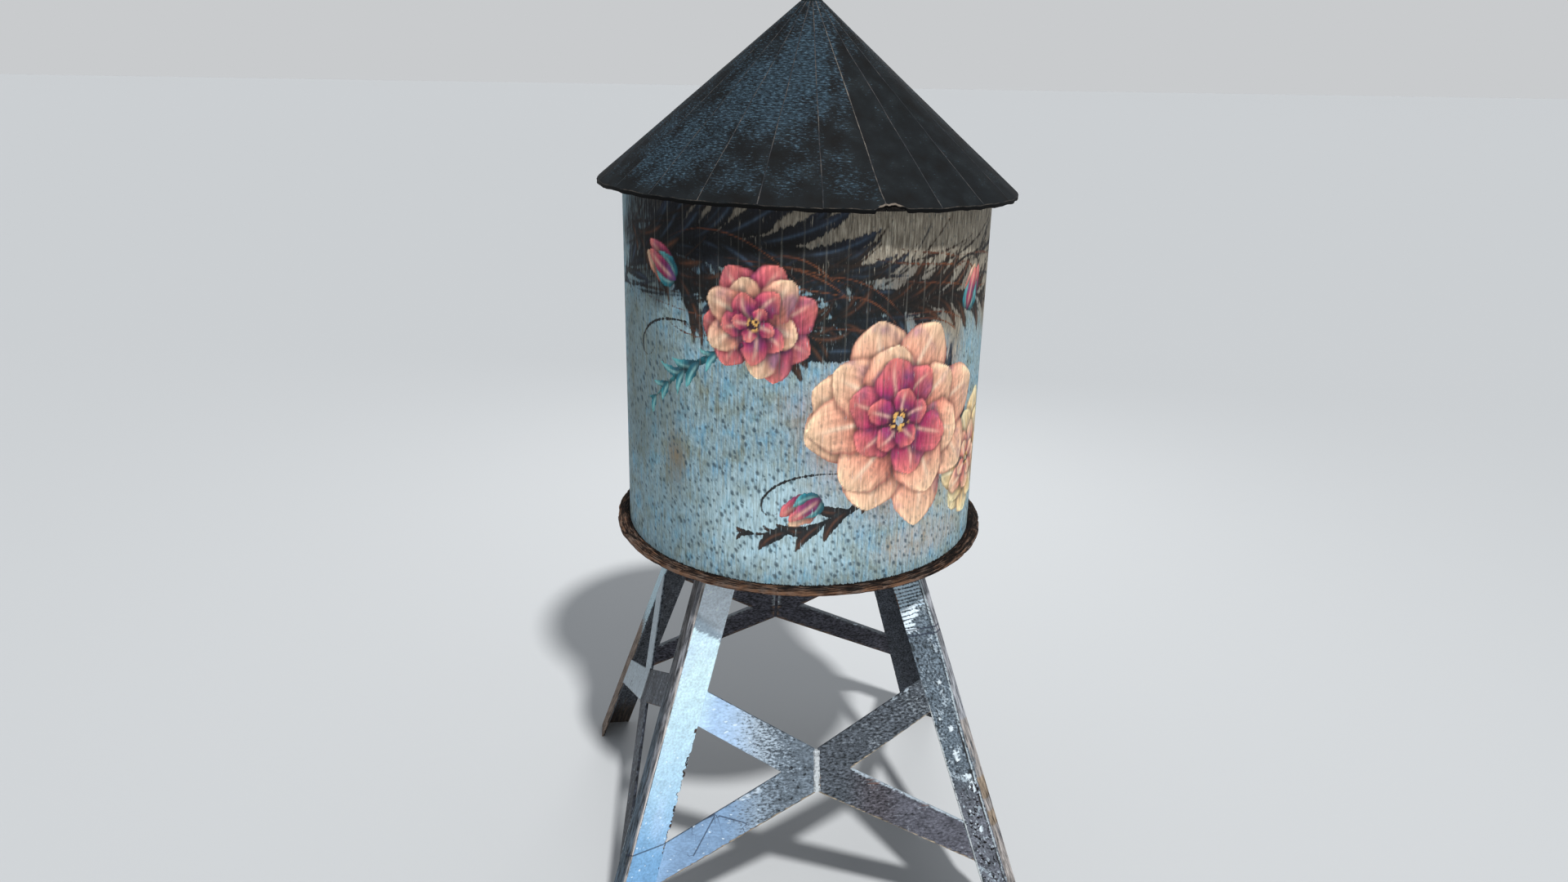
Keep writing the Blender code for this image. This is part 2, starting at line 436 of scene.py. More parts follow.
    def ochre_top(self, add: Adder, wall: Source, streak: Source, patch: Source, tint: Source) -> Source:
        """Tints the top of the boards ochre grey, as rain and rust have.

        Args:
            add: adds a node to the material.
            wall: colour so far.
            streak: strength of the brush marks.
            patch: broad patches.
            tint: how ochre the paint is.

        Returns:
            The colour.
        """
        ochre = [(0.30, "4d463b"), (0.44, "756d60"), (0.56, "948c7d"), (0.70, "bcb5a4")]
        warm = add("ValToRGB", {"Fac": streak}, ochre)
        part = add("Math", {0: patch, 1: 0.8, 2: tint}, operation="MULTIPLY_ADD")
        part = add("Math", {0: streak, 1: 0.8, 2: part}, operation="MULTIPLY_ADD")
        part = add("MapRange", {"Value": part, "From Min": 0.95, "From Max": 1.55})
        return add("Mix", {0: part, 6: wall, 7: warm})

    def washed(self, add: Adder, wall: Source, streak: Source, wash: Node) -> Source:
        """Lays the thin washes of colour under the design, rubbed along the brush marks; some of them are
        painted light and shade.

        Args:
            add: adds a node to the material.
            wall: colour so far.
            streak: strength of the brush marks.
            wash: reader of the washes' colour and strength.

        Returns:
            The colour.
        """
        rub = add("Math", {0: streak, 1: 1.9, 2: -0.45}, operation="MULTIPLY_ADD", use_clamp=True)
        lay = add("Math", {0: rub, 1: wash.outputs["Alpha"]}, operation="MULTIPLY")
        return add("Mix", {0: lay, 6: wall, 7: wash.outputs["Color"]})

    def drawn(
        self, add: Adder, wall: Source, streak: Source, bristle: Source, art: Node
    ) -> tuple[Source, Source]:
        """Lays the design, whose edge is drawn by a dry brush and which has worn off in flakes.

        Args:
            add: adds a node to the material.
            wall: colour so far.
            streak: strength of the brush marks.
            bristle: marks of the dry brush.
            art: reader of the design's colour and cover.

        Returns:
            The colour, and how much of it the design covers.
        """
        edge = add("Math", {0: bristle, 1: 0.6, 2: art.outputs["Alpha"]}, operation="MULTIPLY_ADD")
        edge = add("MapRange", {"Value": edge, "From Min": 0.76, "From Max": 0.85})
        feeds = {"Value": streak, "From Min": 0.70, "From Max": 0.62, "To Min": 0.30, "To Max": 0.97}
        hold = add("MapRange", feeds)
        cover = add("Math", {0: edge, 1: hold}, operation="MULTIPLY")
        feeds = {"Value": bristle, "From Min": 0.3, "From Max": 0.7, "To Min": 0.66, "To Max": 1.36}
        strength = add("MapRange", feeds)
        paint = add("VectorMath", {0: art.outputs["Color"], "Scale": strength}, operation="SCALE")
        return add("Mix", {0: cover, 6: wall, 7: paint}), cover

    def mildew(self, add: Adder, skin: Source, spots: Source, cover: Source) -> Source:
        """Finds the slanted oval spots of mildew, each in its own cell and fainter on the design.

        Args:
            add: adds a node to the material.
            skin: place on the wall.
            spots: how large the spots are.
            cover: how much the design covers.

        Returns:
            How dark the mildew is.
        """
        cells = self.slanted(add, skin, self.spot_mm)
        wobble = add("TexNoise", {"Vector": cells, "Scale": 3.0, "Detail": 2.0}).outputs["Color"]
        cells = add("VectorMath", {0: wobble, 1: (0.34, 0.34, 0.0), 2: cells}, operation="MULTIPLY_ADD")
        spot = add("TexVoronoi", {"Vector": cells, "Scale": 1.0}, voronoi_dimensions="2D")
        size = add("SeparateColor", {0: spot.outputs["Color"]})
        size = add("Math", {0: size, 1: spots}, operation="MULTIPLY")
        rim = add("Math", {0: size, 1: -0.29, 2: spot.outputs["Distance"]}, operation="MULTIPLY_ADD")
        dark = add("MapRange", {"Value": rim, "From Min": 0.12, "From Max": -0.10, "To Max": 0.82})
        bare = add("MapRange", {"Value": cover, "To Min": 1.0, "To Max": 0.3})
        return add("Math", {0: dark, 1: bare}, operation="MULTIPLY")

    def edged(self, add: Adder, wall: Source, bristle: Source, joint: Source, foot: Source) -> Source:
        """Paints what lies at the boards' edges: bridged joints, a pale rim at the top and a dark ragged line
        at the foot, painted shade and dirt together.

        Args:
            add: adds a node to the material.
            wall: colour so far.
            bristle: marks of the dry brush.
            joint: depth in a joint.
            foot: above zero at the foot and below zero at the top.

        Returns:
            The colour.
        """
        pale = add("MapRange", {"Value": joint, "From Min": 0.1, "From Max": 0.7, "To Max": 0.2})
        bridged = add("Mix", {0: pale, 6: wall, 7: linear("b9b8ae")})
        deep = add("MapRange", {"Value": joint, "From Min": 0.8, "From Max": 1.0, "To Max": 0.5})
        gapped = add("Mix", {0: deep, 6: bridged, 7: linear("35393a")})
        crown = add("Math", {0: bristle, 1: -1.2, 2: foot}, operation="MULTIPLY_ADD")
        crown = add("MapRange", {"Value": crown, "From Min": -1.2, "From Max": -1.5, "To Max": 0.7})
        crowned = add("Mix", {0: crown, 6: gapped, 7: linear("cdd2d0")})
        # Painted shade and splashed dirt make a dark ragged line at the foot
        dirt = add("Math", {0: bristle, 1: 1.4, 2: foot}, operation="MULTIPLY_ADD")
        dirt = add("MapRange", {"Value": dirt, "From Min": 1.32, "From Max": 1.5})
        return add("Mix", {0: dirt, 6: crowned, 7: linear("1f1a17")})


@dataclass(frozen=True)
class TarredSheet(Finish):
    """Rolled sheet metal brushed with coal tar: dull charcoal, with a blue-grey bloom in short dashes."""

    name: str = "tarred_roof_sheet"
    roughness: float = 0.62
    specular: float = 0.1
    dash_mm: tuple[float, float] = (30.0, 11.0)
    cloud_mm: float = 150.0

    def build(self) -> Material:
        """Makes the roof covering's material.

        Returns:
            The material. Its field edge is below zero on the hem and the underside, which are painted near
            black as shade, and above zero on rubbed metal.
        """
        material, add, shader, readers = self.start("skin", "bloom", "edge")
        skin = readers[0].outputs["Vector"]
        bloom, edge = (reader.outputs["Fac"] for reader in readers[1:])
        across, down = (1000.0 / size for size in self.dash_mm)
        dash = add("Mapping", {"Vector": skin, "Scale": (across, down, 1.0)})
        dash = add("TexNoise", {"Vector": dash, "Scale": 1.0, "Detail": 5.0, "Roughness": 0.68})
        cloud = add("TexNoise", {"Vector": skin, "Scale": 1000.0 / self.cloud_mm, "Detail": 5.0})
        level = add("Math", {0: cloud, 1: 1.5, 2: bloom}, operation="MULTIPLY_ADD")
        feeds = {"Value": level, "From Min": 0.55, "From Max": 1.65, "To Min": 0.76, "To Max": 0.40}
        need = add("MapRange", feeds)
        over = add("Math", {0: dash, 1: need}, operation="SUBTRACT")
        mask = add("MapRange", {"Value": over, "From Min": -0.06, "From Max": 0.17})
        tar = add("ValToRGB", {"Fac": cloud}, [(0.3, "171717"), (0.5, "1b1e20"), (0.7, "232729")])
        stops = [(0.4, "1f2a31"), (0.54, "344551"), (0.68, "566d7b")]
        blue = add("ValToRGB", {"Fac": dash}, stops)
        sheet = add("Mix", {0: mask, 6: tar, 7: blue})
        # Painted shade: the hem and the underside go near black
        shade = add("MapRange", {"Value": edge, "From Max": -1.0})
        shaded_hem = add("Mix", {0: shade, 6: sheet, 7: linear("060606")})
        worn = add("Math", {0: dash, 1: 0.6, 2: edge}, operation="MULTIPLY_ADD")
        worn = add("MapRange", {"Value": worn, "From Min": 0.55, "From Max": 1.1})
        final = add("Mix", {0: worn, 6: shaded_hem, 7: linear("7b7065")})
        bump = add("Bump", {"Height": dash, "Strength": 0.35, "Distance": 0.003})
        rough = add("MapRange", {"Value": mask, "To Min": 0.7, "To Max": 0.92})
        feed(shader, {"Base Color": final, "Normal": bump, "Roughness": rough})
        return material


@dataclass(frozen=True)
class RubbedSeam(Finish):
    """Folded edges of the roof sheets: tar rubbed through to brown-grey metal in broken lengths."""

    name: str = "rubbed_seam"
    roughness: float = 0.7
    specular: float = 0.12
    rub_mm: float = 28.0

    def build(self) -> Material:
        """Makes the seams' material.

        Returns:
            The material.
        """
        material, add, shader, readers = self.start("skin", "worn")
        skin, worn = readers[0].outputs["Vector"], readers[1].outputs["Fac"]
        rub = add("TexNoise", {"Vector": skin, "Scale": 1000.0 / self.rub_mm, "Detail": 4.0})
        level = add("Math", {0: rub, 1: worn}, operation="MULTIPLY")
        stops = [(0.14, "1d2022"), (0.30, "36383b"), (0.48, "57534f"), (0.70, "7c756d")]
        colour = add("ValToRGB", {"Fac": level}, stops)
        bump = add("Bump", {"Height": rub, "Strength": 0.5, "Distance": 0.002})
        feed(shader, {"Base Color": colour, "Normal": bump})
        return material


@dataclass(frozen=True)
class BareBoard(Finish):
    """Sawn softwood left bare in the weather: open grain that catches dirt, rusty brown where it is worn."""

    name: str = "weathered_bare_board"
    roughness: float = 0.88
    specular: float = 0.12
    grain_mm: tuple[float, float] = (105.0, 13.0)
    patch_mm: float = 90.0
    dark: str = "0b0807"
    middle: str = "30221b"
    light: str = "705340"
    grey: str = "443a34"

    def build(self) -> Material:
        """Makes the bare timber's material.

        Returns:
            The material. Its field fresh lightens worn places and places painted as lit, and crumbs marks
            pale dust.
        """
        material, add, shader, readers = self.start("skin", "fresh", "crumbs")
        skin = readers[0].outputs["Vector"]
        fresh, crumbs = (reader.outputs["Fac"] for reader in readers[1:])
        long, wide = (1000.0 / size for size in self.grain_mm)
        along = add("Mapping", {"Vector": skin, "Scale": (long, wide, wide)})
        feeds = {"Vector": along, "Scale": 1.0, "Detail": 5.0, "Roughness": 0.7, "Distortion": 0.3}
        grain = add("TexNoise", feeds)
        patch = add("TexNoise", {"Vector": skin, "Scale": 1000.0 / self.patch_mm, "Detail": 4.0})
        level = add("Math", {0: fresh, 1: 0.16, 2: grain}, operation="MULTIPLY_ADD")
        stops = [(0.43, self.dark), (0.53, self.middle), (0.65, self.light)]
        brown = add("ValToRGB", {"Fac": level}, stops)
        weathered = add("MapRange", {"Value": patch, "From Min": 0.42, "From Max": 0.62, "To Max": 0.8})
        mixed = add("Mix", {0: weathered, 6: brown, 7: linear(self.grey)}, blend_type="COLOR")
        dust = add("Math", {0: grain, 1: 1.2, 2: crumbs}, operation="MULTIPLY_ADD")
        dust = add("MapRange", {"Value": dust, "From Min": 1.25, "From Max": 1.5})
        final = add("Mix", {0: dust, 6: mixed, 7: linear("b9aa8c")})
        bump = add("Bump", {"Height": grain, "Strength": 0.8, "Distance": 0.003})
        feed(shader, {"Base Color": final, "Normal": bump})
        return material


@dataclass(frozen=True)
class SteelPaint(Finish):
    """Brushed alkyd paint on rolled plate: mottled primer, a chalky coat that flakes, rust at the edges."""

    name: str = "flaking_steel_paint"
    roughness: float = 0.65
    specular: float = 0.14
    mottle_mm: float = 16.0
    speck_mm: float = 30.0
    blotch_mm: float = 70.0
    creep_mm: tuple[float, float] = (130.0, 18.0)
    line_mm: tuple[float, float] = (2.5, 6.5)

    def build(self) -> Material:
        """Makes the steelwork's material.

        Returns:
            The material. Its field marks holds distances to three thin dark lines.
        """
        material, add, shader, readers = self.start("skin", "ground", "coat", "stain", "marks", "grit")
        skin, ground, marks = (readers[i].outputs["Vector"] for i in (0, 1, 4))
        coat, stain, grit = readers[2], readers[3], readers[5].outputs["Fac"]
        feeds = {"Vector": skin, "Scale": 1000.0 / self.mottle_mm, "Detail": 4.0, "Roughness": 0.6}
        mottle = add("TexNoise", feeds)
        feeds = {"Vector": skin, "Scale": 1000.0 / self.blotch_mm, "Detail": 5.0, "Roughness": 0.6}
        blotch = add("TexNoise", feeds)
        speck = add("TexNoise", {"Vector": skin, "Scale": 1000.0 / self.speck_mm, "Detail": 1.0})
        primer = self.primer(add, ground, grit, mottle, blotch, speck)
        chalk = self.chalk(add, coat, mottle, blotch, speck)
        # The top coat lets go where the mottle is low, so that its edge is ragged at paint flake size
        held = add("Math", {0: mottle, 1: 1.5, 2: coat.outputs["Alpha"]}, operation="MULTIPLY_ADD")
        held = add("MapRange", {"Value": held, "From Min": 1.10, "From Max": 1.38})
        coated = add("Mix", {0: held, 6: primer, 7: chalk})
        rusted, crept = self.rusted(add, coated, skin, stain)
        final = self.dark_lines(add, rusted, marks)
        pits = add("Math", {0: held, 1: 0.3, 2: mottle}, operation="MULTIPLY_ADD")
        bump = add("Bump", {"Height": pits, "Strength": 0.6, "Distance": 0.0025})
        rough = add("MapRange", {"Value": crept, "To Min": 0.55, "To Max": 0.9})
        feed(shader, {"Base Color": final, "Normal": bump, "Roughness": rough})
        return material

    def primer(
        self, add: Adder, ground: Source, grit: Source, mottle: Source, blotch: Source, speck: Source
    ) -> Source:
        """Mottles the primer, which shows small dark pits.

        Args:
            add: adds a node to the material.
            ground: the primer's plain colour.
            grit: strength of the fine mottle.
            mottle: fine mottle.
            blotch: broad mottle.
            speck: small specks.

        Returns:
            The colour.
        """
        feeds = {"Value": mottle, "From Min": 0.37, "From Max": 0.67, "To Min": -0.80, "To Max": 1.05}
        light = add("MapRange", feeds)
        light = add("Math", {0: light, 1: grit, 2: 1.0}, operation="MULTIPLY_ADD")
        feeds = {"Value": blotch, "From Min": 0.3, "From Max": 0.7, "To Min": 0.62, "To Max": 1.35}
        broad = add("MapRange", feeds)
        light = add("Math", {0: light, 1: broad}, operation="MULTIPLY")
        plain = add("VectorMath", {0: ground, "Scale": light}, operation="SCALE")
        pit = add("MapRange", {"Value": speck, "From Min": 0.35, "From Max": 0.29, "To Max": 0.85})
        return add("Mix", {0: pit, 6: plain, 7: linear("1d1f22")})

    def chalk(self, add: Adder, coat: Node, mottle: Source, blotch: Source, speck: Source) -> Source:
        """Varies the chalky top coat, on which drops of white paint sit.

        Args:
            add: adds a node to the material.
            coat: reader of the coat's colour and strength.
            mottle: fine mottle.
            blotch: broad mottle.
            speck: small specks.

        Returns:
            The colour.
        """
        feeds = {"Value": blotch, "From Min": 0.3, "From Max": 0.7, "To Min": 0.86, "To Max": 1.12}
        even = add("MapRange", feeds)
        feeds = {"Value": mottle, "From Min": 0.35, "From Max": 0.65, "To Min": 0.8, "To Max": 1.12}
        fine = add("MapRange", feeds)
        even = add("Math", {0: even, 1: fine}, operation="MULTIPLY")
        plain = add("VectorMath", {0: coat.outputs["Color"], "Scale": even}, operation="SCALE")
        drop = add("MapRange", {"Value": speck, "From Min": 0.69, "From Max": 0.73, "To Max": 0.75})
        return add("Mix", {0: drop, 6: plain, 7: linear("dfeef8")})

    def rusted(self, add: Adder, coated: Source, skin: Source, stain: Node) -> tuple[Source, Source]:
        """Lets rust and tar creep in from the edges in soft patches, drawn out along the piece.

        Args:
            add: adds a node to the material.
            coated: colour so far.
            skin: place on the piece.
            stain: reader of the stain's colour and strength.

        Returns:
            The colour, and how much of it the stain covers.
        """
        long, wide = (1000.0 / size for size in self.creep_mm)
        drag = add("Mapping", {"Vector": skin, "Scale": (long, wide, wide)})
        drag = add("TexNoise", {"Vector": drag, "Scale": 1.0, "Detail": 4.0, "Roughness": 0.65})
        crept = add("Math", {0: drag, 1: 1.3, 2: stain.outputs["Alpha"]}, operation="MULTIPLY_ADD")
        crept = add("MapRange", {"Value": crept, "From Min": 1.0, "From Max": 1.3})
        feeds = {"Value": drag, "From Min": 0.36, "From Max": 0.64, "To Min": 0.2, "To Max": 1.8}
        vary = add("MapRange", feeds)
        rust = add("VectorMath", {0: stain.outputs["Color"], "Scale": vary}, operation="SCALE")
        return add("Mix", {0: crept, 6: coated, 7: rust}), crept

    def dark_lines(self, add: Adder, rusted: Source, marks: Source) -> Source:
        """Draws the thin dark lines, among them the painted shadows of wires.

        Args:
            add: adds a node to the material.
            rusted: colour so far.
            marks: distances to three lines.

        Returns:
            The colour.
        """
        lines = add("VectorMath", {0: marks}, operation="ABSOLUTE")
        lines = add("SeparateXYZ", {0: lines}).outputs
        nearest = add("Math", {0: lines[0], 1: lines[1]}, operation="MINIMUM")
        nearest = add("Math", {0: nearest, 1: lines[2]}, operation="MINIMUM")
        thin, fade = (size / 1000.0 for size in self.line_mm)
        line_cover = add("MapRange", {"Value": nearest, "From Min": fade, "From Max": thin, "To Max": 0.75})
        return add("Mix", {0: line_cover, 6: rusted, 7: linear("2b3040")})


@dataclass(frozen=True)
class StudioFloor(Finish):
    """Pale seamless floor of a photo studio."""

    name: str = "studio_floor"
    roughness: float = 0.95
    haze_mm: float = 1250.0

    def build(self) -> Material:
        """Makes the floor's material.

        Returns:
            The material.
        """
        material, add, shader, _ = self.start()
        haze = add("TexNoise", {"Scale": 1000.0 / self.haze_mm, "Detail": 2.0})
        colour = add("Mix", {0: haze, 6: linear("c6c8c9"), 7: linear("cacccd")})
        feed(shader, {"Base Color": colour})
        return material


@dataclass(frozen=True)
class Pigment:
    """Colours of one kind of painted stroke, from its root to its tip, and of the cloudy shade over it."""

    root: str
    middle: str
    tip: str
    edge: str
    rib: str
    shade: str
    rib_width: float = 0.010
    blunt: float = 0.6
    soft: float = 1.0


@dataclass
class WallDesign:
    """Large painted blossoms and leaves that go round the tank twice.

    Places are in metres along the wall and above the deck.
    """

    radius: float = 1.22
    seed: int = 23
    reach: float = 0.05
    peach: Pigment = Pigment("93204a", "d4836f", "ecc6a2", "9c4a48", "f6dfc2", "8c5a86", 0.016)
    rose: Pigment = Pigment("3d1238", "a32c58", "d9786f", "5a1a3c", "eebfa8", "5f3f7c", 0.012)
    ochre: Pigment = Pigment("8a4332", "cf9f66", "ecdcae", "86583f", "fbf2d6", "8b8f9b", 0.012)
    navy: Pigment = Pigment("08090d", "12151d", "232a38", "050608", "3f5266", "0d0e12", 0.009, 0.8, 2.1)
    umber: Pigment = Pigment("0d0908", "1c1310", "362419", "080605", "6b4028", "141216", 0.008, 0.8, 2.1)
    twig: Pigment = Pigment("0d0908", "1c1310", "362419", "080605", "6b4028", "141216", 0.008, 0.8)
    teal: Pigment = Pigment("11343a", "1f7482", "5db4b6", "0e282d", "a6dcd8", "2a4f63", 0.009, 1.0)
    rust: Pigment = Pigment("2c1710", "5d3320", "8a5230", "3a2014", "8a5230", "33201a", 0.004, 1.0)
    # Thin clouds of colour, three of them painted light and shade: middle, half width and half height, hex
    # colour, cover
    washes_and_painted_light: tuple[tuple[Pair, Pair, str, float], ...] = (
        ((0.40, 1.00), (0.80, 0.70), "c08a86", 0.60),
        ((-0.75, 2.00), (0.95, 0.42), "2a2c36", 0.85),
        ((0.45, 1.80), (0.80, 0.24), "37404c", 0.75),
        ((1.15, 0.62), (0.60, 0.50), "cbb282", 0.55),
        ((0.75, 0.22), (0.60, 0.18), "d8a98c", 0.42),
        # Painted light: a pale cloud brightens the lower middle of the wall
        ((-0.30, 0.42), (0.66, 0.44), "c6e4ee", 0.95),
        # Painted shade: two grey clouds darken the wall's left side, which turns from the light
        ((-1.38, 1.25), (0.50, 0.95), "67736f", 1.10),
        ((-1.15, 0.35), (0.45, 0.45), "67828d", 0.60),
        ((-1.20, 2.08), (0.66, 0.46), "17171b", 2.1),
        ((-1.05, 0.72), (0.15, 0.30), "6a5530", 0.90),
    )
    along: np.ndarray = field(init=False, repr=False)
    up: np.ndarray = field(init=False, repr=False)
    colour: np.ndarray = field(init=False, repr=False)
    slack: np.ndarray = field(init=False, repr=False)
    wash: np.ndarray = field(init=False, repr=False)

    @property
    def period(self) -> float:
        """Length of wall after which the design comes again."""
        return 0.5 * TAU * self.radius

    def paint(self, along: np.ndarray, up: np.ndarray) -> tuple[np.ndarray, np.ndarray]:
        """Paints the design at points of the wall.

        Args:
            along: distance along the wall from the front, in metres.
            up: height above the deck, in metres.

        Returns:
            Rows of colour and edge distance for the design, and rows of colour and strength for the washes.
        """
        self.along, self.up = along, up
        self.colour = np.zeros((len(along), 3))
        self.slack = np.full(len(along), -1.0)
        self.wash = np.zeros((len(along), 4))
        rng = np.random.default_rng(self.seed)
        for place, size, code, strength in self.washes_and_painted_light:
            self.lay_wash(place, size, code, strength)
        self.add_foliage(rng)
        self.add_blades(np.random.default_rng(self.seed + 8))
        self.add_tendrils(rng)
        self.add_flowers(rng)
        cover = np.clip(0.5 + self.slack / self.reach, 0.0, 1.0)
        return np.concatenate([self.colour, cover[:, None]], axis=1), self.wash

    def add_foliage(self, rng: np.random.Generator) -> None:
        """Paints the leafy branches, the large dark ones first.

        Args:
            rng: seeded random numbers.
        """
        for points, length, pairs, pigment, slim in (
            (((1.30, 0.50), (0.95, 1.25), (0.10, 1.74), (-1.30, 1.95)), 0.56, 18, self.navy, 0.105),
            (((-1.80, 1.70), (-1.10, 2.22), (-0.40, 2.36), (0.60, 1.62)), 0.64, 19, self.navy, 0.095),
            (((-0.30, 1.62), (0.30, 1.82), (0.85, 1.94), (1.60, 1.56)), 0.42, 17, self.umber, 0.095),
            (((-1.55, 2.15), (-1.00, 1.90), (-0.60, 1.72), (-0.10, 1.60)), 0.54, 15, self.umber, 0.10),
            (((0.55, 0.85), (0.25, 0.50), (-0.15, 0.32), (-0.60, 0.34)), 0.26, 6, self.twig, 0.15),
            (((-0.45, 1.60), (-0.80, 1.42), (-1.02, 1.30), (-1.30, 1.02)), 0.24, 6, self.teal, 0.15),
        ):
            self.add_branch(rng, points, length, pairs, pigment, slim)

    def add_blades(self, rng: np.random.Generator) -> None:
        """Paints the thin dark blades between the leaves.

        Args:
            rng: seeded random numbers.
        """
        for _ in range(60):
            x = rng.uniform(-1.80, 1.35)
            y = rng.uniform(1.62, 2.42 - 0.38 * (x > -0.6))
            run, rise = rng.uniform(0.25, 0.70), rng.uniform(-0.12, 0.38)
            line = [(x, y), (x + 0.5 * run, y + 0.2 * rise), (x + run, y + rise)]
            dark = (self.navy, self.umber, self.umber)[rng.integers(3)]
            self.add_stroke(self.curve(line), rng.uniform(0.005, 0.015), dark, 0.4, 0.3)

    def add_tendrils(self, rng: np.random.Generator) -> None:
        """Paints the thin rusty tendrils and the curled twigs.

        Args:
            rng: seeded random numbers.
        """
        for _ in range(22):
            x, y = rng.uniform(-1.5, 0.9), rng.uniform(1.62, 2.12)
            bend, run = rng.uniform(-0.18, 0.22), rng.uniform(0.45, 0.95)
            line = [(x, y), (x + 0.35 * run, y + bend), (x + 0.7 * run, y + 0.6 * bend), (x + run, y - 0.15)]
            self.add_stroke(self.curve(line), rng.uniform(0.0035, 0.0060), self.rust, 0.5)
        for line, width in (
            (((0.50, 1.60), (0.80, 2.20), (1.35, 2.10), (1.18, 1.72), (1.02, 1.92)), 0.010),
            (((-0.80, 1.60), (-1.25, 1.70), (-1.55, 1.45), (-1.35, 1.22), (-1.24, 1.40)), 0.008),
            (((0.10, 0.75), (-0.35, 0.80), (-0.55, 0.55), (-0.40, 0.38), (-0.28, 0.52)), 0.008),
        ):
            self.add_stroke(self.curve(line), width, self.twig, 0.35)

    def add_flowers(self, rng: np.random.Generator) -> None:
        """Paints the three buds and the three blossoms, the largest one last.

        Args:
            rng: seeded random numbers.
        """
        self.add_bud(rng, (-1.02, 1.86), 0.32, 2.6)
        self.add_bud(rng, (-0.05, 0.60), 0.28, 3.8)
        self.add_bud(rng, (1.02, 1.66), 0.30, 1.2)
        self.add_blossom(rng, (1.20, 0.62), 0.46, 7, (self.ochre, self.ochre, self.peach))
        self.add_blossom(rng, (-0.48, 1.66), 0.40, 7, (self.rose, self.peach, self.rose))
        self.add_blossom(rng, (0.44, 1.06), 0.70, 8, (self.peach, self.peach, self.rose))

    def near(self, centre: Pair, reach: float) -> tuple[np.ndarray, np.ndarray]:
        """Picks the wall points near a place.

        Args:
            centre: place along and up the wall.
            reach: half the side of the square that is kept.

        Returns:
            Their numbers, and their offsets along and up from the place.
        """
        aside = (self.along - centre[0] + 0.5 * self.period) % self.period - 0.5 * self.period
        above = self.up - centre[1]
        picked = np.nonzero((np.abs(aside) < reach) & (np.abs(above) < reach))[0]
        return picked, np.stack([aside[picked], above[picked]], axis=1)

    def lay_wash(self, place: Pair, size: Pair, code: str, strength: float) -> None:
        """Lays a thin cloud of colour under the design.

        Args:
            place: its middle along and up the wall.
            size: its half width and half height.
            code: its hex colour.
            strength: its cover in the middle.
        """
        picked, offset = self.near(place, 1.6 * max(size))
        x, y = offset[:, 0], offset[:, 1]
        far = np.hypot(x / size[0], y / size[1]) + 0.3 * noise(x * 5.0, y * 5.0, place[0], seed=3, octaves=3)
        part = strength * smooth(1.05, 0.35, far)
        old = self.wash[picked]
        share = (part / np.maximum(part + old[:, 3], 1e-6))[:, None]
        old[:, :3] += (tone(code) - old[:, :3]) * share
        old[:, 3] = np.maximum(old[:, 3], part)
        self.wash[picked] = old

    @staticmethod
    def curve(points: Sequence[Pair]) -> np.ndarray:
        """A smooth line that starts at the first point, ends at the last and is pulled by those between.

        Args:
            points: places along and up the wall.

        Returns:
            Rows of places on the line.
        """
        t = np.linspace(0.0, 1.0, 30)[:, None]
        count = len(points) - 1
        weights = [math.comb(count, i) * t**i * (1.0 - t) ** (count - i) for i in range(count + 1)]
        return sum(weight * np.array(p) for weight, p in zip(weights, points))

    def add_stroke(
        self, line: np.ndarray, width: float, pigment: Pigment, full: float, halo: float = 0.0
    ) -> None:
        """Paints one leaf, petal or tendril along a line.

        Args:
            line: rows of places along and up the wall, from its root to its tip.
            width: half its widest part.
            pigment: its colours.
            full: place of the widest part, from 0 at the root to 1 at the tip.
            halo: strength of the shade that it casts on what lies below it.
        """
        centre = (line.min(axis=0) + line.max(axis=0)) / 2.0
        span = 0.5 * float((line.max(axis=0) - line.min(axis=0)).max())
        picked, place = self.near(tuple(centre), span + 1.6 * width + 0.05)
        if not len(picked):
            return
        # Each point's place along and across the stroke
        line = line - centre
        way = np.gradient(line, axis=0)
        length = float(np.linalg.norm(way, axis=1).sum())
        way /= np.linalg.norm(way, axis=1, keepdims=True)
        offset = place[:, None, :] - line[None]
        best = (offset**2).sum(axis=2).argmin(axis=1)
        gap = offset[np.arange(len(picked)), best]
        facing = way[best]
        side = facing[:, 0] * gap[:, 1] - facing[:, 1] * gap[:, 0]
        along = (facing * gap).sum(axis=1) / length + best / (len(line) - 1.0)
        part = np.clip(along, 0.0, 1.0)
        power = math.log(0.5) / math.log(full)
        room = width * np.sin(math.pi * part**power) ** pigment.blunt
        room = room * (1.0 + 0.16 * noise(part * 7.0, np.sign(side), width * 90.0, seed=9))
        slack = room - np.hypot(np.abs(side), (along - part) * length)
        if halo > 0.0:
            shade = 1.0 - halo * smooth(-0.045, 0.0, slack) * (self.slack[picked] > 0.0)
            self.colour[picked] *= shade[:, None]
        slack = slack / pigment.soft
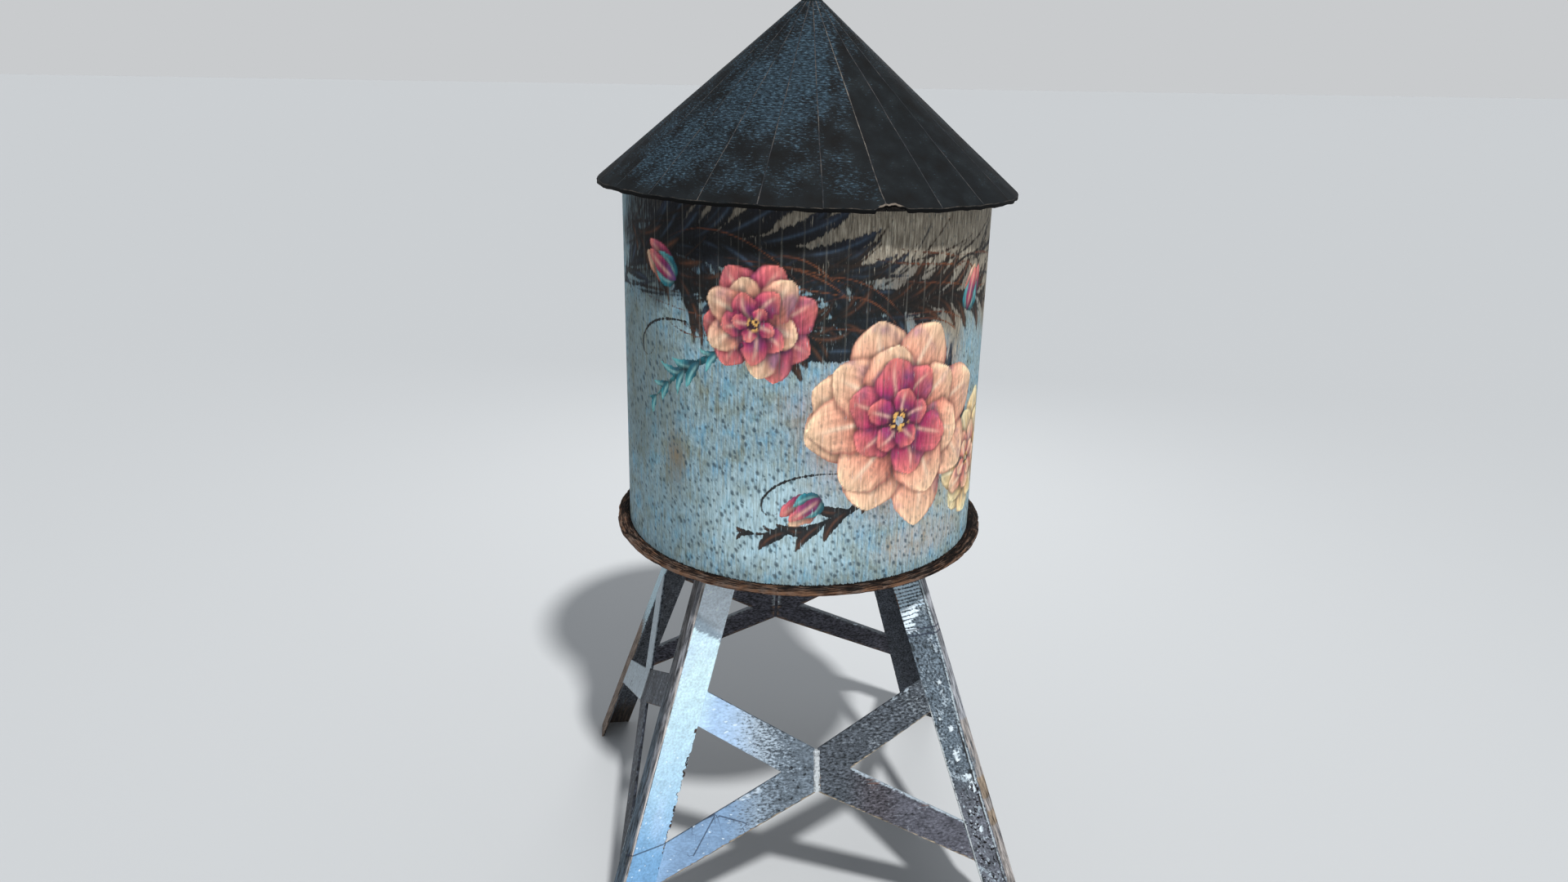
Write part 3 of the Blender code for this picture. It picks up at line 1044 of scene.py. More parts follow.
        # Colour from root to tip under a cloudy veil, lit from one side, with hairs, a lip, a rim and a rib
        low, mid, high = tone(pigment.root), tone(pigment.middle), tone(pigment.tip)
        half = 2.0 * part[:, None]
        colour = np.where(half < 1.0, low + (mid - low) * half, mid + (high - mid) * (half - 1.0))
        across = side / np.maximum(room, 1e-4)
        cloudy = noise(place[:, 0] * 8.0, place[:, 1] * 8.0, length * 9.0, seed=self.seed + 2, octaves=3)
        veil = 0.75 * smooth(0.0, 0.75, cloudy + 0.35 * (0.5 - part))[:, None]
        colour = colour + (tone(pigment.shade) - colour) * veil
        lit = across * (facing[:, 1] * 0.6 + facing[:, 0] * 0.8)
        hairs = noise(side * 75.0, part * 4.0, width * 91.0, seed=self.seed, octaves=3)
        lip = 0.22 * np.exp(-(((np.abs(across) - 0.74) / 0.13) ** 2)) * smooth(0.3, 0.8, part)
        colour = colour * (1.0 + 0.36 * lit + 0.30 * hairs - 0.22 * cloudy + lip)[:, None]
        rim = 0.6 * smooth(0.86, 1.0, np.abs(across))[:, None]
        colour = colour + (tone(pigment.edge) - colour) * rim
        centre_line = np.exp(-(((side - 0.10 * room) / pigment.rib_width) ** 2))
        glow = centre_line * smooth(0.02, 0.35, part) * smooth(1.0, 0.7, part) * (width > 0.02)
        colour = np.clip(colour + (tone(pigment.rib) - colour) * (0.6 * glow)[:, None], 0.0, 1.0)
        # On bare wall the nearer stroke wins; on older strokes this one lies on top
        old = self.slack[picked]
        share = np.where(old < 0.0, slack > old, smooth(-0.004, 0.005, slack))[:, None]
        self.colour[picked] += (colour - self.colour[picked]) * share
        self.slack[picked] = np.maximum(old, slack)

    def add_branch(
        self,
        rng: np.random.Generator,
        points: Sequence[Pair],
        length: float,
        pairs: int,
        pigment: Pigment,
        slim: float,
    ) -> None:
        """Paints a bent stem with leaves on both sides.

        Args:
            rng: seeded random numbers.
            points: places that shape the stem.
            length: longest leaf.
            pairs: how many pairs of leaves.
            pigment: colours of the leaves.
            slim: half width of a leaf as a share of its length.
        """
        stem = self.curve(points)
        self.add_stroke(stem, 0.020, pigment, 0.4)
        way = np.gradient(stem, axis=0)
        for i in range(pairs):
            at = int((i + 0.5) / pairs * (len(stem) - 1))
            heading = math.atan2(way[at, 1], way[at, 0])
            swell = math.sin(math.pi * (i + 0.5) / pairs) ** 0.8
            for sign in (-1.0, 1.0):
                spread = heading + sign * rng.uniform(0.30, 0.75)
                reach = length * (0.3 + 0.72 * swell) * rng.uniform(0.75, 1.15)
                pull = spread - sign * rng.uniform(0.2, 0.7)
                x, y = stem[at]
                middle = (x + 0.55 * reach * math.cos(pull), y + 0.55 * reach * math.sin(pull))
                end = (x + reach * math.cos(spread), y + reach * math.sin(spread))
                width = reach * slim * rng.uniform(0.75, 1.25)
                self.add_stroke(self.curve([(x, y), middle, end]), width, pigment, 0.42, 0.5)

    def add_blossom(
        self,
        rng: np.random.Generator,
        centre: Pair,
        size: float,
        petals: int,
        pigments: tuple[Pigment, Pigment, Pigment],
    ) -> None:
        """Paints an open blossom of four rings of petals and a seeded heart.

        Args:
            rng: seeded random numbers.
            centre: its middle on the wall.
            size: length of the outer petals.
            petals: how many in the outer ring.
            pigments: colours of the outer, middle and inner petals.
        """
        outer, middle, inner = pigments
        rings = ((1.0, 0.31, outer), (0.82, 0.34, middle), (0.58, 0.34, inner), (0.34, 0.36, inner))
        for ring, (part, width, pigment) in enumerate(rings):
            count = petals - ring
            start = rng.uniform(0.0, TAU)
            for i in np.argsort(rng.uniform(size=count)):
                heading = start + TAU * i / count + rng.uniform(-0.2, 0.2)
                length = size * part * rng.uniform(0.78, 1.08)
                lean = heading + rng.uniform(-0.5, 0.5)
                steps = ((0.04 * size, heading), (0.5 * length, lean), (length, heading))
                line = [(centre[0] + run * math.cos(a), centre[1] + run * math.sin(a)) for run, a in steps]
                self.add_stroke(self.curve(line), size * part * width, pigment, 0.60, 0.5)
        picked, offset = self.near(centre, 0.25 * size)
        far = np.hypot(offset[:, 0], offset[:, 1]) / size
        dots = noise(offset[:, 0] * 60.0, offset[:, 1] * 60.0, seed=self.seed)[:, None]
        heart = np.where(dots > 0.2, tone("e0ac5e"), tone("32161f"))
        self.colour[picked] += (heart - self.colour[picked]) * smooth(0.13, 0.07, far)[:, None]

    def add_bud(self, rng: np.random.Generator, centre: Pair, size: float, heading: float) -> None:
        """Paints a closed bud in a leafy cup.

        Args:
            rng: seeded random numbers.
            centre: its foot on the wall.
            size: its length.
            heading: direction of its tip, in radians.
        """
        for turn, pigment, width, part in (
            (-0.25, self.rose, 0.2, 1.0),
            (0.22, self.peach, 0.2, 0.96),
            (-0.5, self.teal, 0.13, 0.66),
            (0.5, self.teal, 0.13, 0.62),
            (0.02, self.rose, 0.16, 0.9),
        ):
            angle = heading + turn + rng.uniform(-0.05, 0.05)
            reach = size * part
            steps = ((0.0, angle), (0.5 * reach, angle + turn), (reach, angle - 0.5 * turn))
            line = [(centre[0] + run * math.cos(a), centre[1] + run * math.sin(a)) for run, a in steps]
            self.add_stroke(self.curve(line), size * width, pigment, 0.48, 0.45)


@dataclass
class RoofForm:
    """Shape of the tilted cone, shared by the roof and the top of the wall."""

    apex: float = 6.364
    eave_radius: float = 1.364
    eave_top: float = 5.203
    thickness: float = 0.025
    tilt_x: float = -0.0192
    tilt_y: float = -0.0217

    def height(self, angle: np.ndarray, radius: np.ndarray, below: np.ndarray | float = 0.0) -> np.ndarray:
        """Height of the cone's top at a place.

        Args:
            angle: radians from the front.
            radius: distance from the axis.
            below: how far under the top surface.

        Returns:
            Heights above the ground, with the tilt.
        """
        slope = (self.apex - self.eave_top) / self.eave_radius
        tilt = radius * (self.tilt_x * np.sin(angle) - self.tilt_y * np.cos(angle))
        return self.apex - slope * radius - below + tilt


@dataclass
class StavedTank:
    """The tank's wall of sixty painted staves in ten panels."""

    roof: RoofForm
    design: WallDesign
    paint: BoardPaint
    deck_top: float = 2.874
    radius: float = 1.22
    taper: float = 0.007
    thickness: float = 0.045
    staves: int = 60
    panels: int = 10
    first_joint: float = math.radians(-9.0)
    face_columns: int = 15
    rows: int = 280
    chamfer: float = 0.0022
    seed: int = 5

    def build(self) -> None:
        """Builds and dresses the ten panels."""
        material = self.paint.build()
        rng = np.random.default_rng(self.seed)
        each = self.staves // self.panels
        for panel in range(self.panels):
            sketch = Sketch(f"staves_{panel + 1:02d}")
            for stave in range(panel * each, (panel + 1) * each):
                self.add_stave(sketch, stave, rng)
            sketch.finish(material, Slot.TANK, [f"tank_wall_{panel + 1:02d}"])

    def add_stave(self, sketch: Sketch, number: int, rng: np.random.Generator) -> None:
        """Adds one stave as a closed body.

        Args:
            sketch: the panel that it belongs to.
            number: place of the stave, counted from the first joint.
            rng: seeded random numbers for its small differences.
        """
        sweep = TAU / self.staves
        middle = self.first_joint + (number + 0.5) * sweep
        half = 0.5 * sweep * self.radius - 0.0004
        flat = np.linspace(-half + self.chamfer, half - self.chamfer, self.face_columns)
        across = np.concatenate([[-half], flat, [half, 0.985 * half, -0.985 * half]])[None, :]
        inner = np.arange(across.shape[1]) >= self.face_columns + 2
        cup = 0.0008 * (flat / half) ** 2
        depth = np.concatenate([[0.0020], cup, [0.0020], [self.thickness] * 2])[None, :]
        groove = np.concatenate([[1.0, 0.5], np.zeros(self.face_columns - 2), [0.5, 1.0, 0.2, 0.2]])[None, :]
        foot = self.deck_top + rng.uniform(0.0006, 0.0030)
        proud = rng.uniform(-0.0010, 0.0004) * ~inner
        angle = middle + across / self.radius
        base = self.radius - depth
        top = self.roof.height(angle, base, self.roof.thickness) - 0.004
        height = foot + np.linspace(0.0, 1.0, self.rows)[:, None] * (top - foot)
        wave = 0.0006 * noise(angle * 20.0, height * 1.4, float(number), seed=3) * ~inner
        radius = base + proud + wave - self.taper * (height - self.deck_top)
        along = np.broadcast_to((angle + math.pi) % TAU - math.pi, height.shape) * self.radius
        up = height - self.deck_top
        art, wash = self.design.paint(along.ravel(), up.ravel())
        art, wash = art.reshape(*height.shape, 4), wash.reshape(*height.shape, 4)
        art[..., 3] *= ~inner
        sketch.add_sweep(
            round_point(angle, radius, height),
            skin=stack(along, up, 0.0),
            art=art,
            wash=wash,
            tint=self.tint(along, up),
            spots=self.spots(along, up),
            joint=groove * (0.50 + 0.50 * noise(angle * 9.0, height * 3.5, seed=15, octaves=2)),
            foot=np.exp(-up / 0.017) - smooth(0.055, 0.02, top - height),
        )

    def tint(self, along: np.ndarray, up: np.ndarray) -> np.ndarray:
        """How ochre the old paint is.

        Args:
            along: distance along the wall from the front.
            up: height above the deck.

        Returns:
            Values from 0 to about 1.
        """
        cloud = noise(along * 1.7, up * 1.1, seed=8, octaves=3)
        eave = smooth(1.65, 2.15, up + 0.25 * cloud + 0.26 * along) * smooth(3.2, 2.2, np.abs(along - 0.4))
        stain = np.exp(-(((along + 1.04) / 0.09) ** 2) - ((up - 0.76) / 0.20) ** 2)
        stain = stain + np.exp(-(((along - 0.88) / 0.09) ** 2) - ((up - 1.3) / 0.25) ** 2)
        return np.clip(0.95 * eave + 0.5 * stain + 0.1 * cloud, 0.0, 1.0)

    def spots(self, along: np.ndarray, up: np.ndarray) -> np.ndarray:
        """How large the mildew spots are.

        Args:
            along: distance along the wall from the front.
            up: height above the deck.

        Returns:
            Values from 0 to 1.
        """
        cloud = noise(along * 1.3, up * 1.6, seed=4, octaves=3)
        low = smooth(1.75, 0.95, up + 0.25 * along * (along < 0.0))
        return np.clip(0.18 + 0.72 * low + 0.4 * cloud, 0.0, 1.0)


@dataclass
class ConeRoof:
    """The boarded cone, its sheet covering, the folded seams and the point."""

    form: RoofForm
    sheet: TarredSheet
    seam: RubbedSeam
    board: BareBoard
    gores: int = 24
    panels: int = 8
    first_seam: float = math.radians(-5.0)
    gauge: float = 0.003
    hem: float = 0.0212
    columns: int = 10
    tip_radius: float = 0.070
    lift_middle: float = math.radians(11.3)
    lift_half: float = math.radians(4.3)
    lift_height: float = 0.015
    seam_wear: tuple[float, ...] = (0.72, 1.08, 0.66, 0.58, 0.52, 0.5)
    left_wear: tuple[float, ...] = (0.68, 0.70, 0.64, 0.56, 0.50)

    def build(self) -> None:
        """Builds and dresses the covering, the boards below it, the seams and the point."""
        sheet, board = self.sheet.build(), self.board.build()
        each = self.gores // self.panels
        for panel in range(self.panels):
            covering = Sketch(f"roof_sheets_{panel + 1}")
            boards = Sketch(f"roof_boards_{panel + 1}")
            for gore in range(panel * each, (panel + 1) * each):
                self.add_gore(covering, gore)
                self.add_boards(boards, gore)
            covering.finish(sheet, Slot.ROOF, [f"roof_panel_{panel + 1}"])
            boards.finish(board, Slot.DECK, [f"roof_panel_{panel + 1}"])
        ribs = Sketch("roof_seams")
        for gore in range(self.gores):
            self.add_seam(ribs, gore)
        ribs.finish(self.seam.build(), Slot.ROOF, [])
        self.build_tip(sheet)

    def top(self, angle: np.ndarray, radius: np.ndarray) -> np.ndarray:
        """Height of the covering with its small dents and waves, never above the cone.

        Args:
            angle: radians from the front.
            radius: distance from the axis.

        Returns:
            Heights above the ground.
        """
        x, y = radius * np.sin(angle) * 5.0, radius * np.cos(angle) * 5.0
        dents = 0.0022 * noise(x, y, radius * 2.0, seed=12, octaves=3)
        wave = 0.0040 * smooth(0.9, 1.35, radius) * noise(angle * 11.0, radius, seed=31)
        lift = np.minimum(dents + wave, 0.003) * smooth(0.05, 0.3, radius)
        return self.form.height(angle, radius) + lift - 0.0032

    def lifted(self, angle: np.ndarray) -> np.ndarray:
        """How far the covering's edge has sprung up, from 0 to 1.

        Args:
            angle: radians from the front.

        Returns:
            The share of the full lift.
        """
        part = np.clip((angle - self.lift_middle) / self.lift_half, -1.0, 1.0)
        arch = np.cos(0.5 * math.pi * part) ** 1.2
        return arch * (1.0 + 0.22 * noise(angle * 70.0, seed=9)) * (np.abs(part) < 1.0)

    def edge_radius(self, angle: np.ndarray) -> np.ndarray:
        """Radius of the covering's uneven edge, drawn back where it has sprung up."""
        uneven = 0.003 * noise(angle * 24.0, seed=17)
        return self.form.eave_radius - 0.004 + uneven - 0.009 * self.lifted(angle)

    def add_gore(self, sketch: Sketch, number: int) -> None:
        """Adds one gore of the covering as a closed thin body with a hem that hangs over the eave.

        Args:
            sketch: the panel that it belongs to.
            number: place of the gore, counted from the first seam.
        """
        sweep = TAU / self.gores
        start = self.first_seam + number * sweep
        loose = np.any(self.lifted(np.linspace(start, start + sweep, 40)) > 0.0)
        angle = np.linspace(start, start + sweep, 70 if loose else self.columns)[:, None]
        lift = self.lifted(angle)
        end = self.edge_radius(angle)
        spread = np.concatenate([np.linspace(0.0, 0.955, 34), [0.968, 0.981, 0.990, 0.996, 1.0]])[None, :]
        radius = self.tip_radius + 0.001 + spread * (end - self.tip_radius)
        top = self.top(angle, radius) + self.lift_height * lift * smooth(0.93, 1.0, spread)
        crest = top[:, -1:]
        hem = self.hem * (1.0 - smooth(0.0, 0.3, lift)) + 0.002 * noise(angle * 31.0, seed=8)
        deep = self.gauge + np.maximum(hem, 0.0)
        back = slice(-2, None, -5)
        sections = np.concatenate(
            [
                round_point(angle, radius, top),
                round_point(angle, end, crest - 0.10 * deep),
                round_point(angle, end, crest - 0.30 * deep),
                round_point(angle, end, crest - deep),
                round_point(angle, end - 0.0025, crest - deep),
                round_point(angle, end - 0.003, crest - self.gauge),
                round_point(angle, radius[:, back], top[:, back] - self.gauge),
            ],
            axis=1,
        )
        reach = np.concatenate([radius, end, end, end, end, end, radius[:, back]], axis=1)
        lap = reach.shape[1] - radius.shape[1] - 5
        bent = smooth(0.2, 0.6, lift)
        rubbed = 0.38 + 0.5 * bent + 0.16 * noise(angle * 40.0, seed=5, octaves=2)
        # The edge field paints the hem and the underside near black as shade, and the crest as rubbed metal
        rest = [0.0 * lift, 0.9 * bent, rubbed, rubbed, 1.6 * bent - 1.0, 1.6 * bent - 1.0]
        rest += [0.0 * lift - 1.0] * (2 + lap)
        edge = np.concatenate([np.zeros((len(angle), radius.shape[1] - 3)), *rest], axis=1)
        skin = stack((angle - start - 0.5 * sweep) * reach + 0.77 * number, reach * 1.31, 0.0)
        sketch.add_sweep(sections, skin=skin, bloom=self.bloom(angle, reach), edge=edge)

    def bloom(self, angle: np.ndarray, radius: np.ndarray) -> np.ndarray:
        """How much blue-grey bloom lies on the tar.

        Args:
            angle: radians from the front.
            radius: distance from the axis.

        Returns:
            Values from 0 to about 1.
        """
        degrees = np.degrees((angle + math.pi) % TAU - math.pi)
        x, y = radius * np.sin(angle), radius * np.cos(angle)
        cloud = noise(x * 3.2, y * 3.2, seed=21, octaves=4)
        streaks = noise(angle * 16.0 + radius * 3.5, radius * 1.6, seed=33, octaves=3)
        level = 0.36 + 0.38 * cloud + 0.30 * streaks + 0.14 * smooth(0.9, 0.3, radius)
        # Weather comes from the front left; its lee side stays plain tar
        for turn, out, wide, deep, change in (
            (-28.0, 0.70, 24.0, 0.34, 0.50),
            (-56.0, 0.98, 24.0, 0.36, 0.32),
            (-6.0, 0.50, 12.0, 0.34, 0.34),
            (-11.0, 1.12, 9.0, 0.20, 0.14),
            (-26.0, 1.04, 10.0, 0.10, -0.55),
            (-41.0, 0.39, 9.0, 0.08, -0.30),
            (32.0, 1.05, 24.0, 0.55, -0.70),
            (75.0, 0.95, 30.0, 0.60, -0.30),
            (150.0, 0.80, 40.0, 0.50, 0.30),
            (-150.0, 1.00, 30.0, 0.40, -0.30),
        ):
            away = (degrees - turn + 180.0) % 360.0 - 180.0
            level = level + change * np.exp(-((away / wide) ** 2) - ((radius - out) / deep) ** 2)
        band = smooth(self.form.eave_radius - 0.02, self.form.eave_radius - 0.08, radius)
        return np.clip(level, 0.0, 1.2) * (0.4 + 0.6 * band) - 0.18 * (1.0 - band)

    def add_boards(self, sketch: Sketch, number: int) -> None:
        """Adds the three tapered boards under one gore.

        Args:
            sketch: the panel that they belong to.
            number: place of the gore.
        """
        sweep = TAU / self.gores / 3.0
        for board in range(3):
            start = self.first_seam + (3 * number + board) * sweep
            angle = np.linspace(start + 0.0012, start + sweep - 0.0012, 4)[:, None]
            run = np.linspace(self.tip_radius + 0.02, self.form.eave_radius - 0.012, 9)
            radius = np.concatenate([run, run[::-1]])[None, :]
            below = np.repeat([0.0095, self.form.thickness], 9)[None, :]
            points = round_point(angle, radius, self.form.height(angle, radius, below))
            skin = stack(radius, angle * 1.2, below + number * 0.31 + board * 0.11)
            sketch.add_sweep(points, skin=skin, fresh=0.0, crumbs=0.0)

    def add_seam(self, sketch: Sketch, number: int) -> None:
        """Adds one folded seam that runs down the slope.

        Args:
            sketch: the piece with all the seams.
            number: place of the seam.
        """
        centre = self.first_seam + number * TAU / self.gores
        stop = float(self.edge_radius(np.array(centre)))
        radius = np.linspace(self.tip_radius + 0.004, stop - 0.001, 80)[:, None]
        sway = 0.0030 * noise(radius * 7.0, float(number), seed=2)
        wide = 0.0029 + 0.0008 * noise(radius * 26.0, float(number), seed=7)
        across = np.array([-1.3, -0.9, 0.0, 0.9, 1.3, 0.0])[None, :] * wide
        above = np.array([-0.0034, 0.0006, 0.0020, 0.0006, -0.0034, -0.0050])[None, :]
        spot = np.full(radius.shape, centre)
        spread = (radius - self.tip_radius) / (stop - self.tip_radius)
        raised = self.lift_height * self.lifted(spot) * smooth(0.93, 1.0, spread)
        height = self.top(spot, radius) + raised + above
        sections = round_point(centre + (across + sway) / radius, radius, height)
        wear = self.seam_wear[number] if number < len(self.seam_wear) else 0.6
        if number >= self.gores - len(self.left_wear):
            wear = self.left_wear[self.gores - 1 - number]
        worn = wear * np.clip(1.0 + 0.5 * noise(radius * 9.0, number * 1.7, seed=6, octaves=2), 0.3, 1.5)
        skin = stack(radius, across, number * 0.7)
        sketch.add_sweep(sections, skin=skin, worn=worn)

    def build_tip(self, material: Material) -> None:
        """Builds the small sheet point over the meeting gores.

        Args:
            material: the covering's material.
        """
        sketch = Sketch("roof_point")
        angle = np.linspace(0.0, TAU, 48, endpoint=False)[None, :]
        radius = np.array([0.0680, 0.0690, 0.0700, 0.0690, 0.0420, 0.0180, 0.0050, 0.0012])[:, None]
        below = np.array([0.0240, 0.0180, 0.0060, 0.0006, 0.0004, 0.0004, 0.0008, 0.0012])[:, None]
        points = round_point(angle, radius, self.form.height(angle, radius, below))
        skin = stack(angle * 0.07, radius * 1.3, 0.0)
        sketch.add_sweep(points, skin=skin, bloom=0.5, edge=0.0)
        sketch.finish(material, Slot.ROOF, ["roof_tip"])


@dataclass
class TimberDeck:
    """The round deck: planks below and a rim of curved boards on top of them."""

    board: BareBoard
    radius: float = 1.31
    bottom: float = 2.85
    top: float = 2.874
    planks: int = 18
    plank_top: float = 2.8615
    rim_inner: float = 1.12
    rim_boards: int = 12
    first_joint: float = math.radians(-14.0)

    def build(self) -> None:
        """Builds and dresses the planks and the rim."""
        material = self.board.build()
        planks = Sketch("deck_planks")
        for number in range(self.planks):
            self.add_plank(planks, number)
        planks.finish(material, Slot.DECK, ["deck"])
        rim = Sketch("deck_rim")
        for number in range(self.rim_boards):
            self.add_rim_board(rim, number)
        rim.finish(material, Slot.DECK, ["deck"])

    def add_plank(self, sketch: Sketch, number: int) -> None:
        """Adds one plank whose ends follow the round edge.

        Args:
            sketch: the piece with all the planks.
            number: place of the plank, from front to back.
        """
        reach = self.radius - 0.009
        pitch = 2.0 * reach / self.planks
        near = max(-reach + number * pitch + 0.0018, -reach + 0.004)
        far = min(-reach + (number + 1) * pitch - 0.0018, reach - 0.004)
        y = np.linspace(near, far, 5)
        ring_y = np.concatenate([y, y[::-1]])[None, :]
        ring_z = np.repeat([self.bottom + 0.0004, self.plank_top], 5)[None, :]
        x = np.linspace(-1.0, 1.0, 15)[:, None] * np.sqrt(reach**2 - ring_y**2)
        skin = stack(x, ring_y, number * 0.43)
        sketch.add_sweep(stack(x, ring_y, ring_z), skin=skin, fresh=0.1, crumbs=0.0)

    def add_rim_board(self, sketch: Sketch, number: int) -> None:
        """Adds one curved board of the rim, with a worn, slightly uneven edge.

        Args:
            sketch: the piece with the whole rim.
            number: place of the board.
        """
        sweep = TAU / self.rim_boards
        start = self.first_joint + number * sweep
        angle = np.linspace(start + 0.0004, start + sweep - 0.0004, 60)[:, None]
        bite = 0.0018 * noise(angle * 26.0, seed=14) + 0.0010 * noise(angle * 90.0, seed=16)
        chip = 0.005 * smooth(0.45, 0.85, noise(angle * 19.0, 4.0, seed=18))
        edge = self.radius - 0.0030 + bite - chip
        low = self.plank_top + 0.0006
        rings = (self.rim_inner, 1.18, 1.206, 1.222, 1.238, 1.254, 1.270, 1.285)
        inside = [np.full_like(edge, ring) for ring in rings]
        outside = [edge - 0.008, edge - 0.0015, edge, edge, edge - 0.002, np.full_like(edge, self.rim_inner)]
        radius = np.concatenate(inside + outside, axis=1)
        flat = self.top - 0.0009
        steps = [flat] * 9 + [flat - 0.0012, flat - 0.0040, self.bottom + 0.0020, self.bottom + 0.0006, low]
        upper = np.arange(14)[None, :] < 10
        ridges = 0.0007 * noise(radius * 60.0, angle * 16.0, float(number), seed=40) * upper
        height = np.array(steps)[None, :] + ridges
        skin = stack(angle * 1.3, radius, height + number * 0.23)
        # Painted light: the rim's top is lighter towards the front left and darker towards the back right
        lit = 0.5 + 0.5 * np.cos(angle + math.radians(40.0))
        worn = np.array([0.0, -0.6, -0.8, -0.8, -0.5, -0.4, -0.3, -0.3, 0.0, 0.7, 0.9, 0.5, 0.3, 0.0])
        fresh = -0.35 + 0.80 * lit + 0.5 * worn + 0.35 * noise(angle * 8.0, radius * 30.0, seed=19, octaves=2)
        heap = 0.62 * np.exp(-(((np.degrees(angle) + 74.0) / 9.0) ** 2)) * (radius < 1.275)
        crumbs = (heap + 0.28 * smooth(0.4, 0.9, noise(angle * 30.0, radius * 40.0, seed=26))) * upper
        sketch.add_sweep(round_point(angle, radius, height), skin=skin, fresh=fresh, crumbs=crumbs)


@dataclass
class Coats:
    """Paint layers of one steel piece, with one value for each point."""

    shape: tuple[int, ...]
    ground: np.ndarray = field(init=False, repr=False)
    coat: np.ndarray = field(init=False, repr=False)
    stain: np.ndarray = field(init=False, repr=False)
    marks: np.ndarray = field(init=False, repr=False)
    grit: np.ndarray = field(init=False, repr=False)
    lines: int = 0

    def __post_init__(self) -> None:
        """Starts with bare primer."""
        self.ground = np.broadcast_to(tone("4b4f54"), (*self.shape, 3)).copy()
        self.coat = np.zeros((*self.shape, 4))
        self.stain = np.zeros((*self.shape, 4))
        self.marks = np.ones((*self.shape, 3))
        self.grit = np.ones(self.shape)

    def prime(self, code: str, part: np.ndarray | float = 1.0) -> None:
        """Tints the primer by a share of a hex colour."""
        part = np.broadcast_to(part, self.shape)[..., None]
        self.ground += (tone(code) - self.ground) * part

    def brush(self, colour: str | np.ndarray, part: np.ndarray | float) -> None:
        """Lays a colour on the top coat."""
        self.lay(self.coat, colour, part)

    def soil(self, colour: str | np.ndarray, part: np.ndarray | float) -> None:
        """Lays a colour on the stain."""
        self.lay(self.stain, colour, part)

    def lay(self, layer: np.ndarray, colour: str | np.ndarray, part: np.ndarray | float) -> None:
        """Lays a colour where it covers more than what lies there.

        Args:
            layer: the coat or the stain.
            colour: a hex colour, or linear colours for each point.
            part: its cover, from 0 to 1.
        """
        part = np.broadcast_to(part, self.shape)
        values = tone(colour) if isinstance(colour, str) else colour
        layer[..., :3] = np.where((part > layer[..., 3])[..., None], values, layer[..., :3])
        layer[..., 3] = np.maximum(layer[..., 3], part)

    def add_line(self, x: np.ndarray, z: np.ndarray, start: Pair, end: Pair) -> None:
        """Adds a thin dark line between two places of a face.

        Args:
            x: distance of each point to the right of the face's middle.
            z: height of each point.
            start: one end of the line.
            end: its other end.
        """
        way = np.array(end) - np.array(start)
        length = math.hypot(*way)
        way = way / length
        run = (x - start[0]) * way[0] + (z - start[1]) * way[1]
        side = (x - start[0]) * -way[1] + (z - start[1]) * way[0]
        beyond = np.maximum(np.maximum(-run, run - length), 0.0)
        self.marks[..., self.lines] = np.where(beyond > 0.0, np.hypot(side, beyond), side)
        self.lines += 1

    def fields(self) -> dict[str, np.ndarray]:
        """The layers by the names that the material reads."""
        layers = {"ground": self.ground, "coat": self.coat, "stain": self.stain}
        return {**layers, "marks": self.marks, "grit": self.grit}


@dataclass(frozen=True)
class LegPoints:
    """Places on a leg and what lies there, with one value for each point."""

    z: np.ndarray
    u: np.ndarray
    v: np.ndarray
    cloud: np.ndarray
    lines: np.ndarray
    heel: np.ndarray
    right_face: np.ndarray
    left_face: np.ndarray
    rim: np.ndarray


@dataclass(frozen=True)
class ArmPoints:
    """Places on half an X and what lies there, with one value for each point."""

    x: np.ndarray
    z: np.ndarray
    out: np.ndarray
    fall: np.ndarray
    gap: np.ndarray
    cloud: np.ndarray
    ragged: np.ndarray
    face: np.ndarray
    upper: np.ndarray
    top_edge: np.ndarray
    low_edge: np.ndarray


